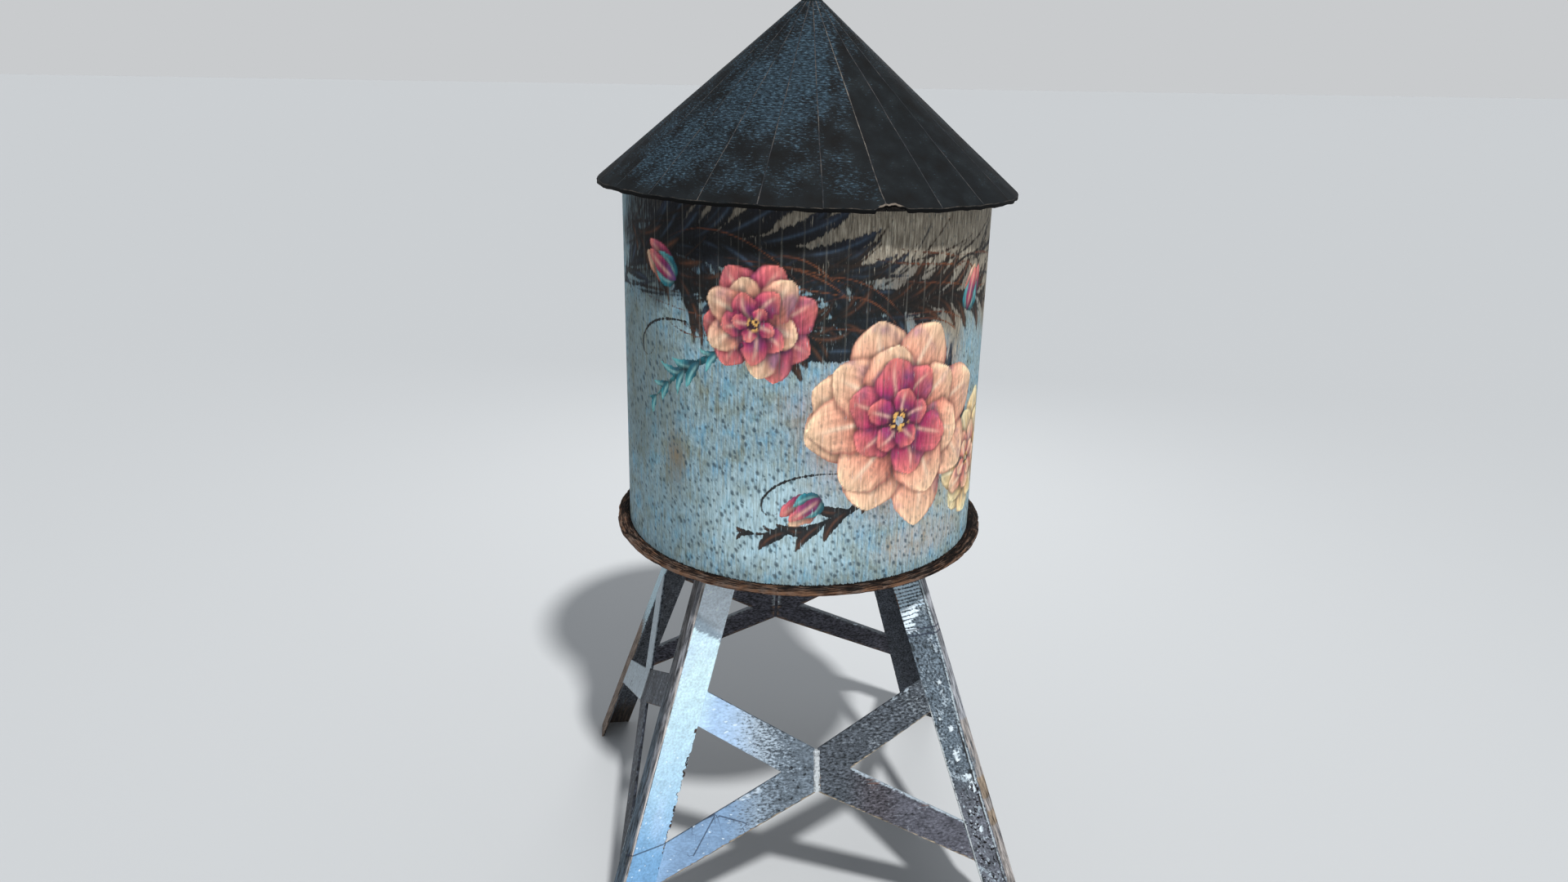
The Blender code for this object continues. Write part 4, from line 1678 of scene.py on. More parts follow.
@dataclass
class Trestle:
    """The four leaning legs, the X braces between them and their welds."""

    paint: SteelPaint
    deck: float = 2.85
    half_at_deck: float = 0.716
    lean: float = 0.302
    flange: float = 0.246
    plate: float = 0.020
    heel: float = 0.036
    hub_half: float = 0.2353
    hub_middle: float = 1.419
    notch_above: float = 1.554
    notch_below: float = 1.278
    upper_top: float = 1.983
    upper_foot: float = 1.764
    lower_top: float = 1.001
    lower_foot: float = 0.722
    weld_half: float = 0.020
    edge_lead: float = 0.0024
    lumps: int = 110
    lump_seed: int = 77
    # White flecks of the front right leg: height, distance from its heel, half height, half width
    flecks: tuple[tuple[float, float, float, float], ...] = (
        (1.472, 0.155, 0.050, 0.020),
        (1.318, 0.120, 0.016, 0.026),
        (1.250, 0.112, 0.036, 0.013),
        (1.638, 0.130, 0.016, 0.013),
        (1.715, 0.199, 0.011, 0.010),
        (1.962, 0.122, 0.014, 0.012),
        (1.081, 0.185, 0.016, 0.010),
        (0.988, 0.167, 0.012, 0.012),
        (0.940, 0.141, 0.018, 0.010),
    )
    # Painted shadows of wires on the front left lower arm, as thin dark lines: both ends, to the right of the
    # middle and above the ground
    wire_shadows: tuple[tuple[tuple[float, float], tuple[float, float]], ...] = (
        ((-0.691, 1.170), (-0.488, 1.101)),
        ((-0.700, 1.165), (-0.857, 0.900)),
        ((-0.868, 1.107), (-0.700, 1.172)),
    )

    def build(self) -> None:
        """Builds and dresses all the steelwork."""
        material = self.paint.build()
        for corner in Corner:
            self.build_leg(corner, material)
        for side in Side:
            self.build_brace(side, material)
            self.build_hub_bead(side, material)
            self.build_leg_beads(side, material)
        self.build_lumps(material)

    def half(self, height: np.ndarray | float) -> np.ndarray | float:
        """Distance from the axis to a face plane at a height."""
        return self.half_at_deck + self.lean * (self.deck - height)

    def leg_outline(self) -> tuple[np.ndarray, np.ndarray]:
        """Outline of a leg's angle section, from its heel.

        Returns:
            Rows of offsets in x and y, and for each the distance along the girth from the heel's middle.
        """
        lead, inner, cut = self.edge_lead, 0.016, self.heel
        nose = [(0.5 * cut, 0.5 * cut), (cut - 0.0028, 0.0028), (cut + 0.0006, 0.0007), (cut + 0.005, 0.0)]
        run = [cut + 0.012, cut + 0.020, cut + 0.028, cut + 0.036]
        run += [*np.linspace(cut + 0.048, self.flange - 0.030, 8)]
        run += [self.flange - 0.020, self.flange - 0.012, self.flange - 0.007]
        rest = np.linspace(self.flange - 0.012, self.plate + inner + 0.02, 6)
        bend = np.linspace(0.5 * math.pi, 0.25 * math.pi, 3)
        outer = [(x, 0.0) for x in run] + [(self.flange - lead, 0.0), (self.flange, lead)]
        back = [(self.flange, self.plate - lead), (self.flange - lead, self.plate)]
        back += [(x, self.plate) for x in rest]
        turns = [(1.0 - math.cos(t), 1.0 - math.sin(t)) for t in bend]
        fillet = [(self.plate + inner * x, self.plate + inner * y) for x, y in turns]
        arm = np.array(nose + outer + back + fillet)
        ring = np.concatenate([arm, arm[::-1, ::-1][1:-1]])
        return ring, np.abs(ring[:, 0] - ring[:, 1])

    def leg_levels(self, corner: Corner) -> np.ndarray:
        """Heights of a leg's rows, close together where its edge is chipped or pale stripes cross it.

        Args:
            corner: which leg.

        Returns:
            Heights from the foot to the deck.
        """
        top = self.deck - 0.0006
        stops = {
            Corner.FRONT_LEFT: ((0.0, 0), (0.72, 50), (1.80, 320), (top, 420)),
            Corner.FRONT_RIGHT: ((0.0, 0), (2.24, 180), (2.52, 260), (top, 320)),
            Corner.BACK_LEFT: ((0.0, 0), (0.25, 50), (top, 210)),
            Corner.BACK_RIGHT: ((0.0, 0), (top, 180)),
        }[corner]
        heights, counts = zip(*stops)
        return np.interp(np.arange(counts[-1] + 1), counts, heights)

    def build_leg(self, corner: Corner, material: Material) -> None:
        """Builds one leg.

        Args:
            corner: which leg.
            material: the steel paint.
        """
        ring, girth = self.leg_outline()
        levels = self.leg_levels(corner)
        shape = (len(levels), len(ring))
        u, v = (np.broadcast_to(ring[:, i], shape) for i in (0, 1))
        z = np.broadcast_to(levels[:, None], shape)
        skew = 0.0012 * np.abs(noise(u * 3.0, v * 3.0, z * 3.0, seed=50 + corner.value, octaves=2))
        outer = (np.minimum(u, v) < 1e-6) * 1.0
        band = 0.12
        if corner is Corner.FRONT_LEFT:
            band = smooth(0.75, 0.95, z) * smooth(1.76, 1.60, z)
        elif corner is Corner.BACK_LEFT:
            band = 0.12 + 1.6 * smooth(0.22, 0.06, z)
        ragged = np.clip(noise(z * 38.0, float(corner.value), seed=5, octaves=3) + 0.32, 0.0, 1.0)
        reach = smooth(self.flange - 0.024, self.flange - 0.006, u)
        x = u - self.half(z) + skew * outer - 0.026 * ragged * band * reach
        y = v - self.half(z) + skew * outer
        # The front left leg's side is seen at a flat angle, where only broad streaks show
        spread = np.where((u < v) & (corner is Corner.FRONT_LEFT), -0.36, np.sign(u - v))
        skin = stack(z * 1.08, girth[None, :] * spread + corner.value * 0.9, np.minimum(u, v))
        coats = Coats(shape)
        self.coat_leg(coats, corner, z, u, v)
        sketch = Sketch(f"leg_angle_{corner.name.lower()}")
        sketch.add_sweep(turned(stack(x, y, z), corner.value), skin=skin, **coats.fields())
        pale = corner in (Corner.FRONT_LEFT, Corner.BACK_LEFT)
        sketch.finish(material, Slot.PALE if pale else Slot.DARK, [f"leg_{corner.name.lower()}"])

    def coat_leg(self, coats: Coats, corner: Corner, z: np.ndarray, u: np.ndarray, v: np.ndarray) -> None:
        """Lays the paint of a leg.

        Args:
            coats: the layers to fill.
            corner: which leg.
            z: heights above the ground.
            u: distance from the heel along the flange to its right, seen from outside.
            v: distance from the heel along the flange to its left.
        """
        cloud = noise(z * 4.0, u * 7.0, v * 7.0, seed=60 + corner.value, octaves=3)
        lines = noise(z * 2.2, u * 130.0, v * 130.0, seed=62, octaves=2)
        heel = u + v < self.heel + 0.003
        rim = (np.maximum(u, v) > self.flange - 0.004) * 1.0
        at = LegPoints(z, u, v, cloud, lines, heel, (v < 0.010) & ~heel, (u < 0.010) & ~heel, rim)
        {
            Corner.FRONT_LEFT: self.coat_front_left_leg,
            Corner.FRONT_RIGHT: self.coat_front_right_leg,
            Corner.BACK_LEFT: self.coat_back_left_leg,
            Corner.BACK_RIGHT: self.coat_back_right_leg,
        }[corner](coats, at)
        coats.soil("53443a", 0.45 * smooth(0.16, 0.0, z))

    def coat_front_left_leg(self, coats: Coats, at: LegPoints) -> None:
        """Lays a chalky pale blue coat with the deck's shade painted on its top, chipped along its right
        edge.

        Args:
            coats: the layers to fill.
            at: the leg's points.
        """
        z, u, v, cloud, lines = at.z, at.u, at.v, at.cloud, at.lines
        heel, right_face, left_face, rim = at.heel, at.right_face, at.left_face, at.rim
        coats.prime("55585c")
        down = smooth(2.3, 0.7, z + 0.12 * cloud)[..., None]
        cool = tone("cde9f0") + (tone("98c2e4") - tone("cde9f0")) * down
        cool = cool + (tone("77a4cc") - cool) * smooth(1.40, 0.80, z + 0.1 * cloud)[..., None]
        cool = cool + (tone("b4caec") - cool) * (0.35 * smooth(0.0, 0.6, cloud))[..., None]
        coats.brush(cool, right_face * 1.0)
        # Painted shade of the deck: a grey coat down to a ragged line stands in for the deck's shadow, and
        # inside the real shadow the coat is lighter so that both meet
        line = 2.408 - 0.50 * (u - 0.03) + 0.014 * noise(u * 60.0, seed=71, octaves=2)
        shaded = smooth(-0.030, 0.030, z - 2.493 + 0.62 * (u - 0.03))[..., None]
        painted_deck_shade = tone("8696a2") + (tone("e2f0fa") - tone("8696a2")) * shaded
        coats.brush(painted_deck_shade, right_face * (z > line) * 1.01)
        chipped = smooth(0.026, 0.004, self.flange - u) * smooth(0.90, 0.98, z) * smooth(1.82, 1.74, z)
        chips = noise(z * 34.0, u * 30.0, seed=73, octaves=3)
        coats.coat[..., 3] -= 0.9 * right_face * chipped * smooth(-0.1, 0.25, chips)
        coats.soil("352b28", right_face * chipped * 0.95 * smooth(0.0, 0.3, chips))
        coats.prime("2e3236", left_face * 1.0)
        coats.brush("9fb0b8", left_face * (0.30 + 0.40 * lines))
        low = smooth(2.4, 1.2, z)[..., None]
        side_paint = tone("5a5859") + (tone("53616d") - tone("5a5859")) * low
        coats.soil(side_paint, left_face * (0.74 + 0.45 * noise(z * 2.0, v * 60.0, seed=74)))
        heel_paint = tone("717276") + (tone("44505b") - tone("717276")) * smooth(1.9, 0.9, z)[..., None]
        coats.soil(heel_paint, heel * (0.74 + 0.40 * lines))
        # Painted highlight: a pale line along the heel's front-facing part
        coats.soil("b2aca8", heel * (u - v > 0.020) * 0.85)
        coats.prime("4a4a4b", heel * 1.0)
        # Painted shadow of a wire: a thin dark line across the leg
        coats.add_line(u - self.half(z), z, (-0.963, 1.027), (-1.309, 0.923))
        coats.soil("40342f", rim * ~left_face * (0.35 + 0.6 * smooth(0.0, 0.5, cloud)))

    def coat_front_right_leg(self, coats: Coats, at: LegPoints) -> None:
        """Lays grey primer with pale stripes at its top, flecks, blots and a rusty heel.

        Args:
            coats: the layers to fill.
            at: the leg's points.
        """
        z, v, cloud, lines = at.z, at.v, at.cloud, at.lines
        heel, left_face, rim = at.heel, at.left_face, at.rim
        coats.grit *= 0.92 - 0.42 * smooth(1.5, 1.0, z)
        coats.prime("5e6a74", smooth(1.0, 1.5, z))
        coats.prime("656972", smooth(1.4, 1.0, z))
        slant = z + 0.16 * (v - 0.15)
        sway = noise(slant * 14.0, v * 10.0, seed=79, octaves=2)
        # Pale stripes across the leg's top
        comb = 0.5 + 0.5 * np.sin(slant * TAU / 0.0235 + 2.4 * sway)
        top_part = smooth(2.44, 2.48, slant) * left_face
        coats.prime("606d77", smooth(2.40, 2.46, slant) * left_face)
        coats.brush("bfd6e5", top_part * (0.16 + (0.75 + 0.5 * sway) * comb) * (v > 0.06))
        steps = 0.5 + 0.5 * np.sin(slant * TAU / 0.029 + 2.0 * sway)
        for low, high, near in ((2.400, 2.498, 0.122), (2.308, 2.402, 0.178)):
            crown = high - 0.42 * (v - near)
            inside = smooth(low - 0.006, low + 0.004, slant) * smooth(crown + 0.006, crown - 0.004, z)
            wobble = 0.026 * noise(slant * 50.0, near * 90.0, seed=75)
            inside = inside * smooth(near - 0.004, near + 0.004, v + wobble)
            coats.brush("e2f1fa", left_face * inside * (0.34 + 0.85 * smooth(0.15, 0.6, steps)))
        coats.add_line(v, z + 0.10 * v, (0.0, 2.338), (0.25, 2.338))
        coats.add_line(v, z + 0.10 * v, (0.0, 2.300), (0.25, 2.300))
        coats.marks[..., :2] *= 0.75
        uneven = 0.85 * noise(z * 58.0, v * 58.0, seed=76, octaves=2)
        for level, across, tall, wide in self.flecks:
            far = np.hypot((z - level) / tall, (v - across) / wide) + uneven
            coats.brush("dde9f0", left_face * 1.1 * smooth(1.4, 0.5, far))
        coats.brush("9fabb3", left_face * (0.08 + 0.14 * smooth(1.2, 1.7, z) + 0.45 * cloud))
        margin = self.heel + 0.028 * smooth(2.25, 1.55, z)
        broad_heel = heel | (left_face & (v < margin))
        near = smooth(0.009, 0.002, np.abs(v - margin - 0.008))
        coats.brush("aebac0", left_face * near * (0.62 + 0.55 * lines))
        blots = smooth(0.20, 0.46, noise(z * 26.0, v * 26.0, seed=77, octaves=3))
        coats.soil("2c3134", left_face * blots * 0.58 * smooth(0.055, 0.075, v) * (z < 2.28))
        patches = smooth(0.12, 0.45, noise(z * 24.0, v * 24.0, seed=82, octaves=3)) * smooth(0.050, 0.065, v)
        coats.brush("a3b1bb", left_face * 0.56 * patches * (z < 2.30))
        inside_line = smooth(0.010, 0.002, np.abs(v - margin - 0.022))
        coats.soil("2b2a2b", left_face * inside_line * (0.5 + 0.5 * lines))
        coats.soil("898b90", broad_heel * (0.74 + 0.30 * lines) * (z > 1.7))
        ochre = smooth(-0.1, 0.4, noise(z * 11.0, 2.0, seed=78, octaves=2)) * smooth(2.0, 1.6, z)
        coats.soil("87796a", broad_heel * 0.95 * ochre)
        coats.soil("8a8582", broad_heel * (0.70 + 0.30 * lines))
        border = smooth(self.flange - 0.016, self.flange - 0.006, v) * smooth(1.95, 1.75, z)
        coats.brush("b2b9bb", left_face * border * (0.75 + 0.5 * lines))
        coats.soil("5b4335", left_face * rim * 0.9 * smooth(0.2, 0.5, cloud))
        coats.soil("2c2624", rim * 0.75 * ~left_face)

    def coat_back_left_leg(self, coats: Coats, at: LegPoints) -> None:
        """Lays pale paint that gives way to brown dirt towards the foot.

        Args:
            coats: the layers to fill.
            at: the leg's points.
        """
        z, cloud, lines = at.z, at.cloud, at.lines
        heel, right_face, left_face = at.heel, at.right_face, at.left_face
        coats.grit *= 0.7
        coats.prime("54585e")
        coats.brush("bfdbe6", right_face * (0.40 + 0.65 * smooth(1.1, 2.2, z) + 0.1 * cloud))
        coats.brush("8d95a0", left_face * (0.35 + 0.2 * cloud))
        coats.soil("66717b", left_face * (0.55 + 0.35 * lines))
        coats.soil("83756b", (right_face | heel) * smooth(1.9, 0.9, z + 0.3 * cloud) * 0.95)
        coats.soil("8d817c", heel * (0.6 + 0.3 * lines))
        coats.soil("463f39", ~(right_face | heel) * smooth(0.5, 0.1, z) * 0.7)

    def coat_back_right_leg(self, coats: Coats, at: LegPoints) -> None:
        """Lays dark primer with thin remains of a grey coat.

        Args:
            coats: the layers to fill.
            at: the leg's points.
        """
        heel, either_face = at.heel, at.right_face | at.left_face
        coats.grit *= 0.8
        coats.prime("4b5058")
        coats.brush("8b9299", either_face * (0.20 + 0.45 * at.cloud))
        coats.soil("6b5a4e", heel * 0.8)

    def brace_lines(self) -> tuple[np.ndarray, np.ndarray]:
        """The two edges of a half X, from the upper leg end round the hub to the lower leg end.

        Returns:
            Points of the long outer edge and of the inner edge, as distance from the middle and height.
        """
        tuck, inner = 0.006, self.weld_half - 0.008
        levels = (self.upper_top, self.upper_foot, self.lower_top, self.lower_foot)
        ends = {h: np.array([self.half(h) - self.flange + tuck, h]) for h in levels}
        above = (self.upper_top - self.notch_above) / (ends[self.upper_top][0] - tuck)
        below = (self.notch_below - self.lower_foot) / (ends[self.lower_foot][0] - tuck)
        hub_top = np.array([inner, self.notch_above + above * inner])
        hub_low = np.array([inner, self.notch_below - below * inner])
        vertex = np.array([self.hub_half, self.hub_middle])
        first, last = vertex + np.array([0.0086, 0.0052]), vertex + np.array([0.0088, -0.0045])
        t = np.linspace(0.0, 1.0, 34)[:, None]
        fan = np.linspace(0.0, 1.0, 16)[1:-1, None]
        pull = vertex - np.array([0.001, 0.0])
        bend = (1 - fan) ** 2 * first + 2 * fan * (1 - fan) * pull + fan**2 * last
        outer = [
            ends[self.upper_top] + (hub_top - ends[self.upper_top]) * t,
            hub_top + (hub_low - hub_top) * fan,
            hub_low + (ends[self.lower_foot] - hub_low) * t,
        ]
        inside = [
            ends[self.upper_foot] + (first - ends[self.upper_foot]) * t,
            bend,
            last + (ends[self.lower_top] - last) * t,
        ]
        return np.concatenate(outer), np.concatenate(inside)

    def build_brace(self, side: Side, material: Material) -> None:
        """Builds the two halves of one face's X.

        Args:
            side: which face.
            material: the steel paint.
        """
        outer, inner = self.brace_lines()
        lead = self.edge_lead
        width = np.linalg.norm(outer - inner, axis=1)[:, None]
        none, edge = 0.0 * width, lead / width
        flat = np.linspace(0.08, 0.92, 11)[None, :] + none
        front = np.concatenate([none, edge, flat, 1.0 - edge, 1.0 + none], axis=1)
        ring = np.concatenate([front, front[:, ::-1][:, [0, 1, 4, 7, 10, 13, 14]]], axis=1)
        rear = self.plate - lead
        deep = np.array([lead] + [0.0] * 13 + [lead, rear] + [self.plate] * 5 + [rear])[None, :] + none
        x = outer[:, :1] + (inner[:, :1] - outer[:, :1]) * ring
        z = outer[:, 1:] + (inner[:, 1:] - outer[:, 1:]) * ring
        gap = np.minimum(ring, 1.0 - ring) * width
        upper = (np.arange(len(x)) < len(x) // 2)[:, None]
        for sign, hand in ((-1.0, "left"), (1.0, "right")):
            warp = 0.0010 * np.abs(noise(sign * x * 3.0, z * 3.0, side.value * 0.17, seed=70, octaves=2))
            y = -self.half(z) + 0.0004 + deep + warp * (deep < 0.01)
            coats = Coats(x.shape)
            fall = np.where(upper, ring, 1.0 - ring)
            self.coat_brace(coats, side, hand, sign * x, z, fall, gap, deep < 0.012, upper)
            sketch = Sketch(f"brace_plate_{side.name.lower()}_{hand}")
            skin = stack(0.62 * sign * x + side.value, 1.15 * z, deep)
            sketch.add_sweep(turned(stack(sign * x, y, z), side.value), skin=skin, **coats.fields())
            pale = side is Side.FRONT and hand == "left" or side is Side.LEFT and hand == "right"
            nodes = [f"brace_{side.name.lower()}_{level}_{hand}" for level in ("upper", "lower")]
            sketch.finish(material, Slot.PALE if pale else Slot.DARK, nodes)

    def coat_brace(
        self,
        coats: Coats,
        side: Side,
        hand: str,
        x: np.ndarray,
        z: np.ndarray,
        fall: np.ndarray,
        gap: np.ndarray,
        face: np.ndarray,
        upper: np.ndarray,
    ) -> None:
        """Lays the paint of half an X.

        Args:
            coats: the layers to fill.
            side: which face.
            hand: left or right half, seen from outside.
            x: distance to the right of the face's middle line.
            z: height above the ground.
            fall: 0 on an arm's upper edge and 1 on its lower one.
            gap: distance to the nearer edge.
            face: marks the outer face.
            upper: marks the upper arm.
        """
        cloud = noise(x * 5.0, z * 5.0, side.value * 0.3, seed=80, octaves=3)
        ragged = noise(x * 30.0, z * 30.0, side.value * 0.3, seed=81, octaves=3)
        top_edge = smooth(0.016, 0.002, gap) * (fall < 0.5)
        low_edge = smooth(0.014, 0.002, gap) * (fall > 0.5)
        at = ArmPoints(x, z, np.abs(x), fall, gap, cloud, ragged, face, upper, top_edge, low_edge)
        if side is Side.FRONT:
            (self.coat_chalky_arms if hand == "left" else self.coat_front_right_arms)(coats, at)
        elif side is Side.LEFT:
            self.coat_left_arms(coats, at, hand == "left")
        else:
            coats.prime("4c4c55" if side is Side.BACK else "52565b")
            coats.brush("7f868e", face * (0.14 + 0.3 * cloud))
            coats.brush("9aa2a9", face * 0.8 * smooth(0.25, 0.6, ragged) * (fall < 0.45))
            coats.brush("8e949a", top_edge * 0.85)
            coats.soil("6a584b", low_edge * 0.6)
        coats.ground *= np.where(face, 1.0, 0.85)[..., None]

    def coat_chalky_arms(self, coats: Coats, at: ArmPoints) -> None:
        """Lays the front left arms' chalky blue coat, which thins out towards the hub, with three painted
        shadows of wires as thin dark lines.

        Args:
            coats: the layers to fill.
            at: the arms' points.
        """
        face, upper = at.face, at.upper[..., None]
        coats.grit *= 0.6
        coats.prime("646f79")
        strength = 0.30 + 0.52 * (at.out + 0.07 * at.cloud - 0.22) / 0.46 + 0.12 * at.ragged
        strength = np.clip(strength + 0.06 * at.upper, 0.0, 1.0) + 0.3 * smooth(0.60, 0.70, at.out)
        meet = smooth(0.10, 0.0, np.abs(at.out - self.half(at.z) + self.flange))
        plain = np.where(upper, tone("abc8e8"), tone("809dbd"))
        plain = plain + (np.where(upper, tone("bcdaee"), tone("8cadd0")) - plain) * meet[..., None]
        worn = np.where(upper, tone("a9b8c5"), tone("8f9fae"))
        faded = plain + (worn - plain) * smooth(0.66, 0.34, at.out)[..., None]
        coats.brush(faded, face * strength)
        streak = ~at.upper * smooth(0.030, 0.022, at.gap) * (at.fall < 0.5) * smooth(-0.1, 0.2, at.cloud)
        coats.brush("c4d2de", face * streak * (at.out > 0.35) * 1.02)
        coats.soil("877a68", at.low_edge * 0.8 * (0.35 + 0.65 * ~at.upper))
        # Painted shadows of wires, as thin dark lines
        for start, end in self.wire_shadows:
            coats.add_line(at.x, at.z, start, end)

    def coat_front_right_arms(self, coats: Coats, at: ArmPoints) -> None:
        """Lays the front right arms' bare primer, with rubbed upper edges and rust along the lower ones.

        Args:
            coats: the layers to fill.
            at: the arms' points.
        """
        face, upper, out, cloud, ragged = at.face, at.upper, at.out, at.cloud, at.ragged
        coats.grit *= 0.95
        coats.prime("4c5259")
        coats.prime("4c4a50", ~upper * smooth(0.15, 0.4, out))
        coats.prime("585962", ~upper * smooth(0.45, 0.62, out))
        coats.grit *= 1.0 - 0.4 * ~upper * smooth(0.4, 0.6, out)
        coats.brush("8f989f", face * (0.16 + 0.36 * cloud))
        bright = smooth(0.0, 0.35, ragged) * smooth(0.35, 0.6, out)
        coats.brush("a9b6c0", at.top_edge * np.where(upper, 0.9 * bright, 0.72 + 0.25 * ragged))
        coats.soil("54423e", face * ~upper * 0.5 * smooth(0.0, 0.5, cloud))
        coats.soil("978b78", at.low_edge * (0.70 + 0.5 * ragged) * np.where(upper, 0.85, 1.0))
        groove = smooth(0.008, 0.012, at.gap) * smooth(0.020, 0.014, at.gap) * (at.fall > 0.5)
        coats.soil("171413", face * groove * ~upper * (0.85 + 0.5 * ragged))

    def coat_left_arms(self, coats: Coats, at: ArmPoints, pale: bool) -> None:
        """Lays the paint of one half of the left face, whose back half is pale and front half dark.

        Args:
            coats: the layers to fill.
            at: the arms' points.
            pale: true for the half at the back.
        """
        coats.prime("5d636c" if pale else "2f333b")
        light, cover = ("b7c4cc", 0.85) if pale else ("5c646f", 0.34)
        grain = noise(at.x * 90.0, at.z * 4.0, seed=83, octaves=2)
        coats.brush(light, at.face * (cover + 0.2 * at.cloud + 0.5 * grain))
        coats.soil("6d625c", at.low_edge * 0.6)

    def build_hub_bead(self, side: Side, material: Material) -> None:
        """Builds the upright weld bead at the hub of one face.

        Args:
            side: which face.
            material: the steel paint.
        """
        z = np.linspace(self.notch_below + 0.001, self.notch_above - 0.001, 130)[:, None]
        middle = (z - self.hub_middle) / 0.14
        lump = noise(z * 70.0, seed=44) + 0.6 * noise(z * 150.0, seed=47)
        ripple = 0.70 + 0.16 * lump + 0.10 * np.abs(np.sin(z * math.pi / 0.0085))
        wide = self.weld_half * (1.02 + 0.14 * middle**2 + 0.12 * noise(z * 50.0, seed=49))
        turn = np.linspace(0.0, math.pi, 11)[None, :]
        sway = 0.0022 * noise(z * 18.0, 2.0, seed=45)
        front_x = -np.cos(turn) * wide + sway * np.sin(turn)
        front_y = -(np.sin(turn) ** 0.6) * 0.0046 * ripple
        back_x = np.array([[0.8, 0.0, -0.8]]) * self.weld_half + 0.0 * z
        back_y = np.array([[-0.001, 0.0005, -0.001]]) + self.plate + 0.0 * z
        x = np.concatenate([front_x, back_x], axis=1)
        y = np.concatenate([front_y, back_y], axis=1)
        coats = Coats(x.shape)
        inside = "43434b" if side is Side.BACK else "5a5f64"
        coats.prime("a3a9ad" if side is Side.FRONT else inside)
        crest = np.exp(-((x / 0.018) ** 2)) * (y < 0.004)
        coats.grit *= 0.5
        coats.brush("bdc3c6", crest * (0.80 + 0.25 * lump) * (1.0 if side is Side.FRONT else 0.0))
        sketch = Sketch(f"hub_bead_{side.name.lower()}")
        points = turned(stack(x, y - self.half(z), z), side.value)
        sketch.add_sweep(points, skin=stack(z, x, 3.0 + side.value), **coats.fields())
        sketch.finish(material, Slot.WELD, [f"hub_weld_{side.name.lower()}"])

    def build_leg_beads(self, side: Side, material: Material) -> None:
        """Builds the flush beads where the arms of one face meet the legs.

        Args:
            side: which face.
            material: the steel paint.
        """
        sketch = Sketch(f"leg_joint_beads_{side.name.lower()}")
        around = np.linspace(0.0, TAU, 10, endpoint=False)[None, :]
        for sign in (-1.0, 1.0):
            for high, low in ((self.upper_top, self.upper_foot), (self.lower_top, self.lower_foot)):
                z = np.linspace(high - 0.004, low + 0.004, 26)[:, None] + 0.0 * around
                wide = 0.0075 + 0.0012 * noise(z * 55.0, sign, seed=46)
                x = sign * (self.half(z) - self.flange) + wide * np.cos(around)
                bulge = np.sign(np.sin(around)) * np.abs(np.sin(around)) ** 0.4
                y = -self.half(z) + 0.5 * self.plate - (0.5 * self.plate + 0.0007) * bulge
                coats = Coats(z.shape)
                coats.prime("4c4c55" if side is Side.BACK else "5b6269")
                if side is Side.FRONT and sign < 0.0:
                    coats.brush("bcdaee" if high == self.upper_top else "8cadd0", 1.0)
                elif side is Side.LEFT:
                    coats.brush("a3afb8" if sign < 0.0 else "6f7681", 0.7)
                skin = stack(z, x, 5.0 + sign + side.value)
                sketch.add_sweep(turned(stack(x, y, z), side.value), skin=skin, **coats.fields())
        sketch.finish(material, Slot.WELD, [])

    def build_lumps(self, material: Material) -> None:
        """Builds the rust blisters and paint lumps on the lower part of the front right leg.

        Args:
            material: the steel paint.
        """
        sketch = Sketch("paint_lumps")
        rng = np.random.default_rng(self.lump_seed)
        polar = np.linspace(0.12, 0.5 * math.pi + 0.25, 6)[:, None]
        around = np.linspace(0.0, TAU, 10, endpoint=False)[None, :]
        for _ in range(self.lumps):
            middle = float(rng.triangular(0.15, 0.75, 1.35))
            across, size = float(rng.uniform(0.07, 0.225)), float(rng.uniform(0.005, 0.013))
            tall = size * float(rng.uniform(1.0, 2.2))
            uneven = 1.0 + 0.18 * np.sin(3.0 * around + middle * 40.0)
            z = middle + tall * np.sin(polar) * np.sin(around) * uneven
            x = self.half(z) - across + size * np.sin(polar) * np.cos(around) * uneven
            y = -self.half(z) + 0.0006 - 0.55 * size * np.cos(polar)
            coats = Coats(z.shape)
            coats.prime("5c5f68")
            # Painted highlight on each lump's upper half and painted shade under its lower half
            coats.brush("98a2ab", float(rng.uniform(0.2, 0.7)) * (np.sin(around) > 0.1))
            coats.soil("1f1c1d", 0.9 * (np.sin(around) < -0.35))
            sketch.add_sweep(stack(x, y, z), skin=stack(z, x, middle * 9.0), **coats.fields())
        sketch.finish(material, Slot.DARK, [])


@dataclass
class PhotoCamera:
    """The camera at the photograph's place and angle."""

    place: tuple[float, float, float] = (-1.0824, -7.0574, 6.0692)
    yaw: float = 0.1360
    pitch: float = 0.3596
    roll: float = 0.0215
    view_angle: float = math.radians(45.0)

    def build(self) -> None:
        """Makes the camera and sets it as the scene's."""
        data = bpy.data.cameras.new("photo_camera")
        data.sensor_fit = "VERTICAL"
        data.angle = self.view_angle
        data.clip_end = 400.0
        camera = bpy.data.objects.new("photo_camera", data)
        bpy.context.scene.collection.objects.link(camera)
        level = math.cos(self.pitch)
        ahead = Vector((math.sin(self.yaw) * level, math.cos(self.yaw) * level, -math.sin(self.pitch)))
        right = Vector((math.cos(self.yaw), -math.sin(self.yaw), 0.0))
        up = right.cross(ahead)
        c, s = math.cos(self.roll), math.sin(self.roll)
        axes = (c * right + s * up, -s * right + c * up, -ahead, Vector(self.place))
        matrix = Matrix.Identity(4)
        for column, axis in enumerate(axes):
            for row in range(3):
                matrix[row][column] = axis[row]
        camera.matrix_world = matrix
        bpy.context.scene.camera = camera
        LOG.info("camera at %s", self.place)


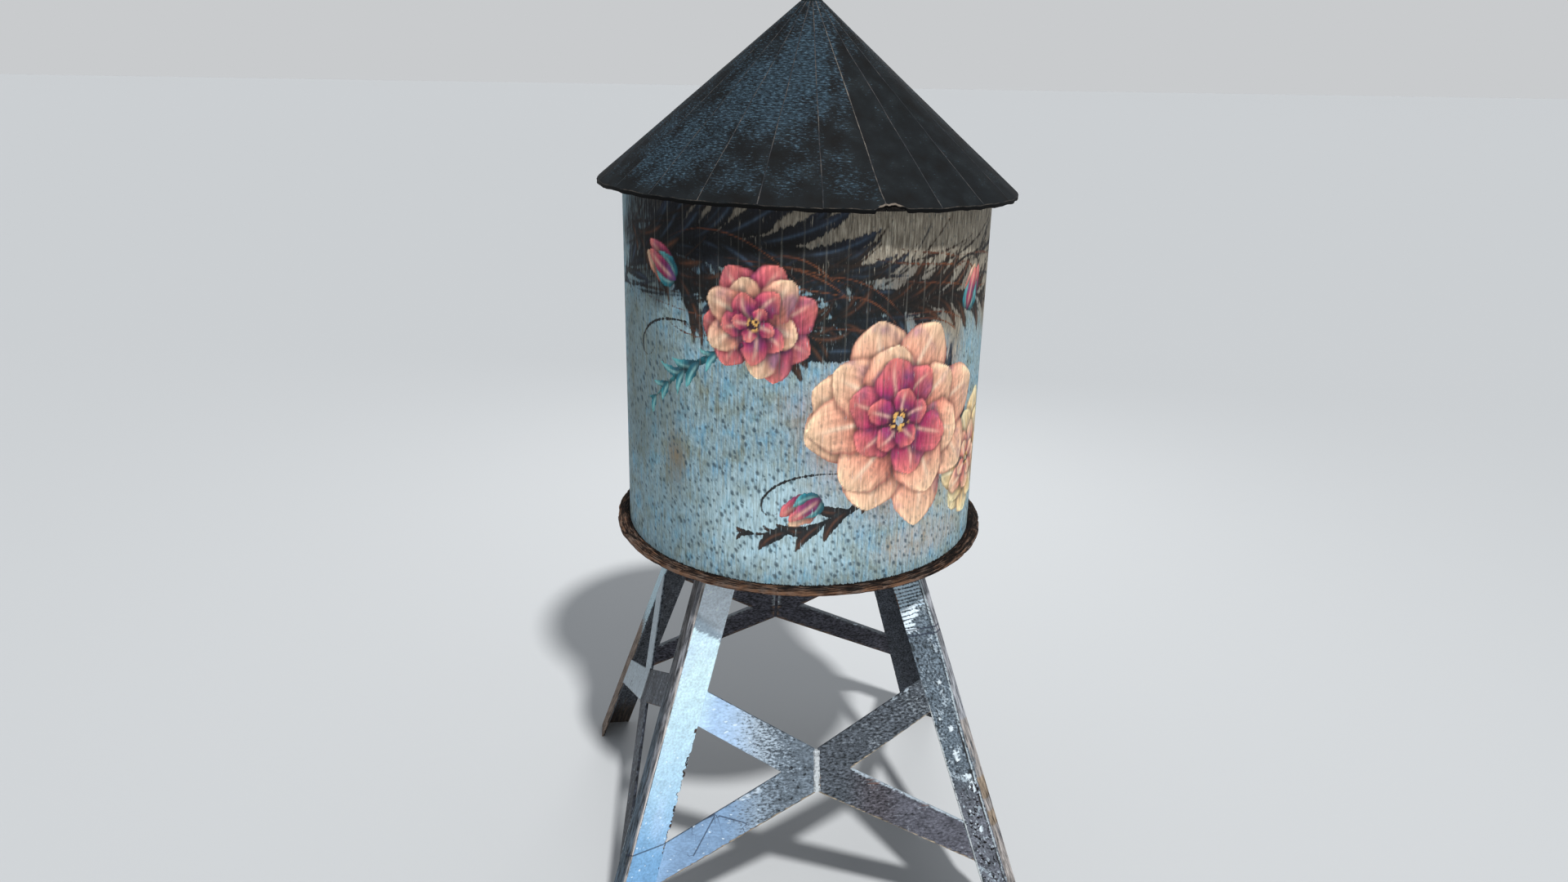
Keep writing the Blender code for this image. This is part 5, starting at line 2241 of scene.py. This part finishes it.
@dataclass
class Studio:
    """Pale floor, one broad far light from the upper front right, and soft lamps that open the shadows."""

    floor: StudioFloor
    half_side: float = 150.0
    cells: int = 12
    target: tuple[float, float, float] = (0.0, 0.0, 3.6)
    lamps: tuple[tuple[str, tuple[float, float, float], float, float], ...] = (
        ("fill", (8.0, -8.5, 5.0), 7.0, 90.0),
        ("back", (2.0, 9.0, 8.0), 6.0, 260.0),
    )
    key_from: tuple[float, float, float] = (0.137, -0.550, 0.824)
    key_strength: float = 3.0
    key_angle: float = math.radians(3.6)
    horizon: str = "c9cbcd"
    zenith: str = "868b91"
    sky_strength: float = 1.0

    def build(self) -> None:
        """Makes the floor, the lamps and the even light around them."""
        mesh = bpy.data.meshes.new("studio_floor")
        steps = np.linspace(-self.half_side, self.half_side, self.cells + 1)
        grid = [(float(x), float(y), 0.0) for y in steps for x in steps]
        row = self.cells + 1
        starts = [row * y + x for y in range(self.cells) for x in range(self.cells)]
        faces = [[at, at + 1, at + row + 1, at + row] for at in starts]
        mesh.from_pydata(grid, [], faces)
        mesh.materials.append(self.floor.build())
        floor = bpy.data.objects.new("studio_floor", mesh)
        bpy.context.scene.collection.objects.link(floor)
        data = bpy.data.lights.new("key", "SUN")
        data.energy, data.angle = self.key_strength, self.key_angle
        key = bpy.data.objects.new("key", data)
        key.rotation_euler = Vector(self.key_from).to_track_quat("Z", "Y").to_euler()
        bpy.context.scene.collection.objects.link(key)
        for name, place, size, power in self.lamps:
            data = bpy.data.lights.new(name, "AREA")
            data.shape = "DISK"
            data.size = size
            data.energy = power
            lamp = bpy.data.objects.new(name, data)
            lamp.location = place
            aim = Vector(self.target) - Vector(place)
            lamp.rotation_euler = aim.to_track_quat("-Z", "Y").to_euler()
            bpy.context.scene.collection.objects.link(lamp)
        world = bpy.data.worlds.new("studio_light")
        world.use_nodes = True
        tree = world.node_tree
        rise = add_node(tree, "SeparateXYZ", {0: add_node(tree, "TexCoord").outputs["Generated"]})
        stops = [(0.05, self.horizon), (0.35, self.zenith)]
        sky = add_node(tree, "ValToRGB", {"Fac": rise.outputs[2]}, stops)
        feed(tree.nodes["Background"], {"Color": sky, "Strength": self.sky_strength})
        bpy.context.scene.world = world
        bpy.context.scene.view_settings.view_transform = "Standard"
        LOG.info("studio with a key light and %d lamps", len(self.lamps))


def main() -> None:
    """Builds every part of the tower in order, then the camera and the studio."""
    logging.basicConfig(level=logging.INFO, format="%(name)s: %(message)s")
    form = RoofForm()
    # The roof boards are coloured near black as painted shade under the eave
    eave_board = BareBoard("dark_eave_board", dark="070605", middle="0f0d0c", light="1f1a17", grey="141313")
    StavedTank(form, WallDesign(), BoardPaint()).build()
    ConeRoof(form, TarredSheet(), RubbedSeam(), eave_board).build()
    TimberDeck(BareBoard()).build()
    Trestle(SteelPaint()).build()
    PhotoCamera().build()
    Studio(StudioFloor()).build()


if __name__ == "__main__":
    main()
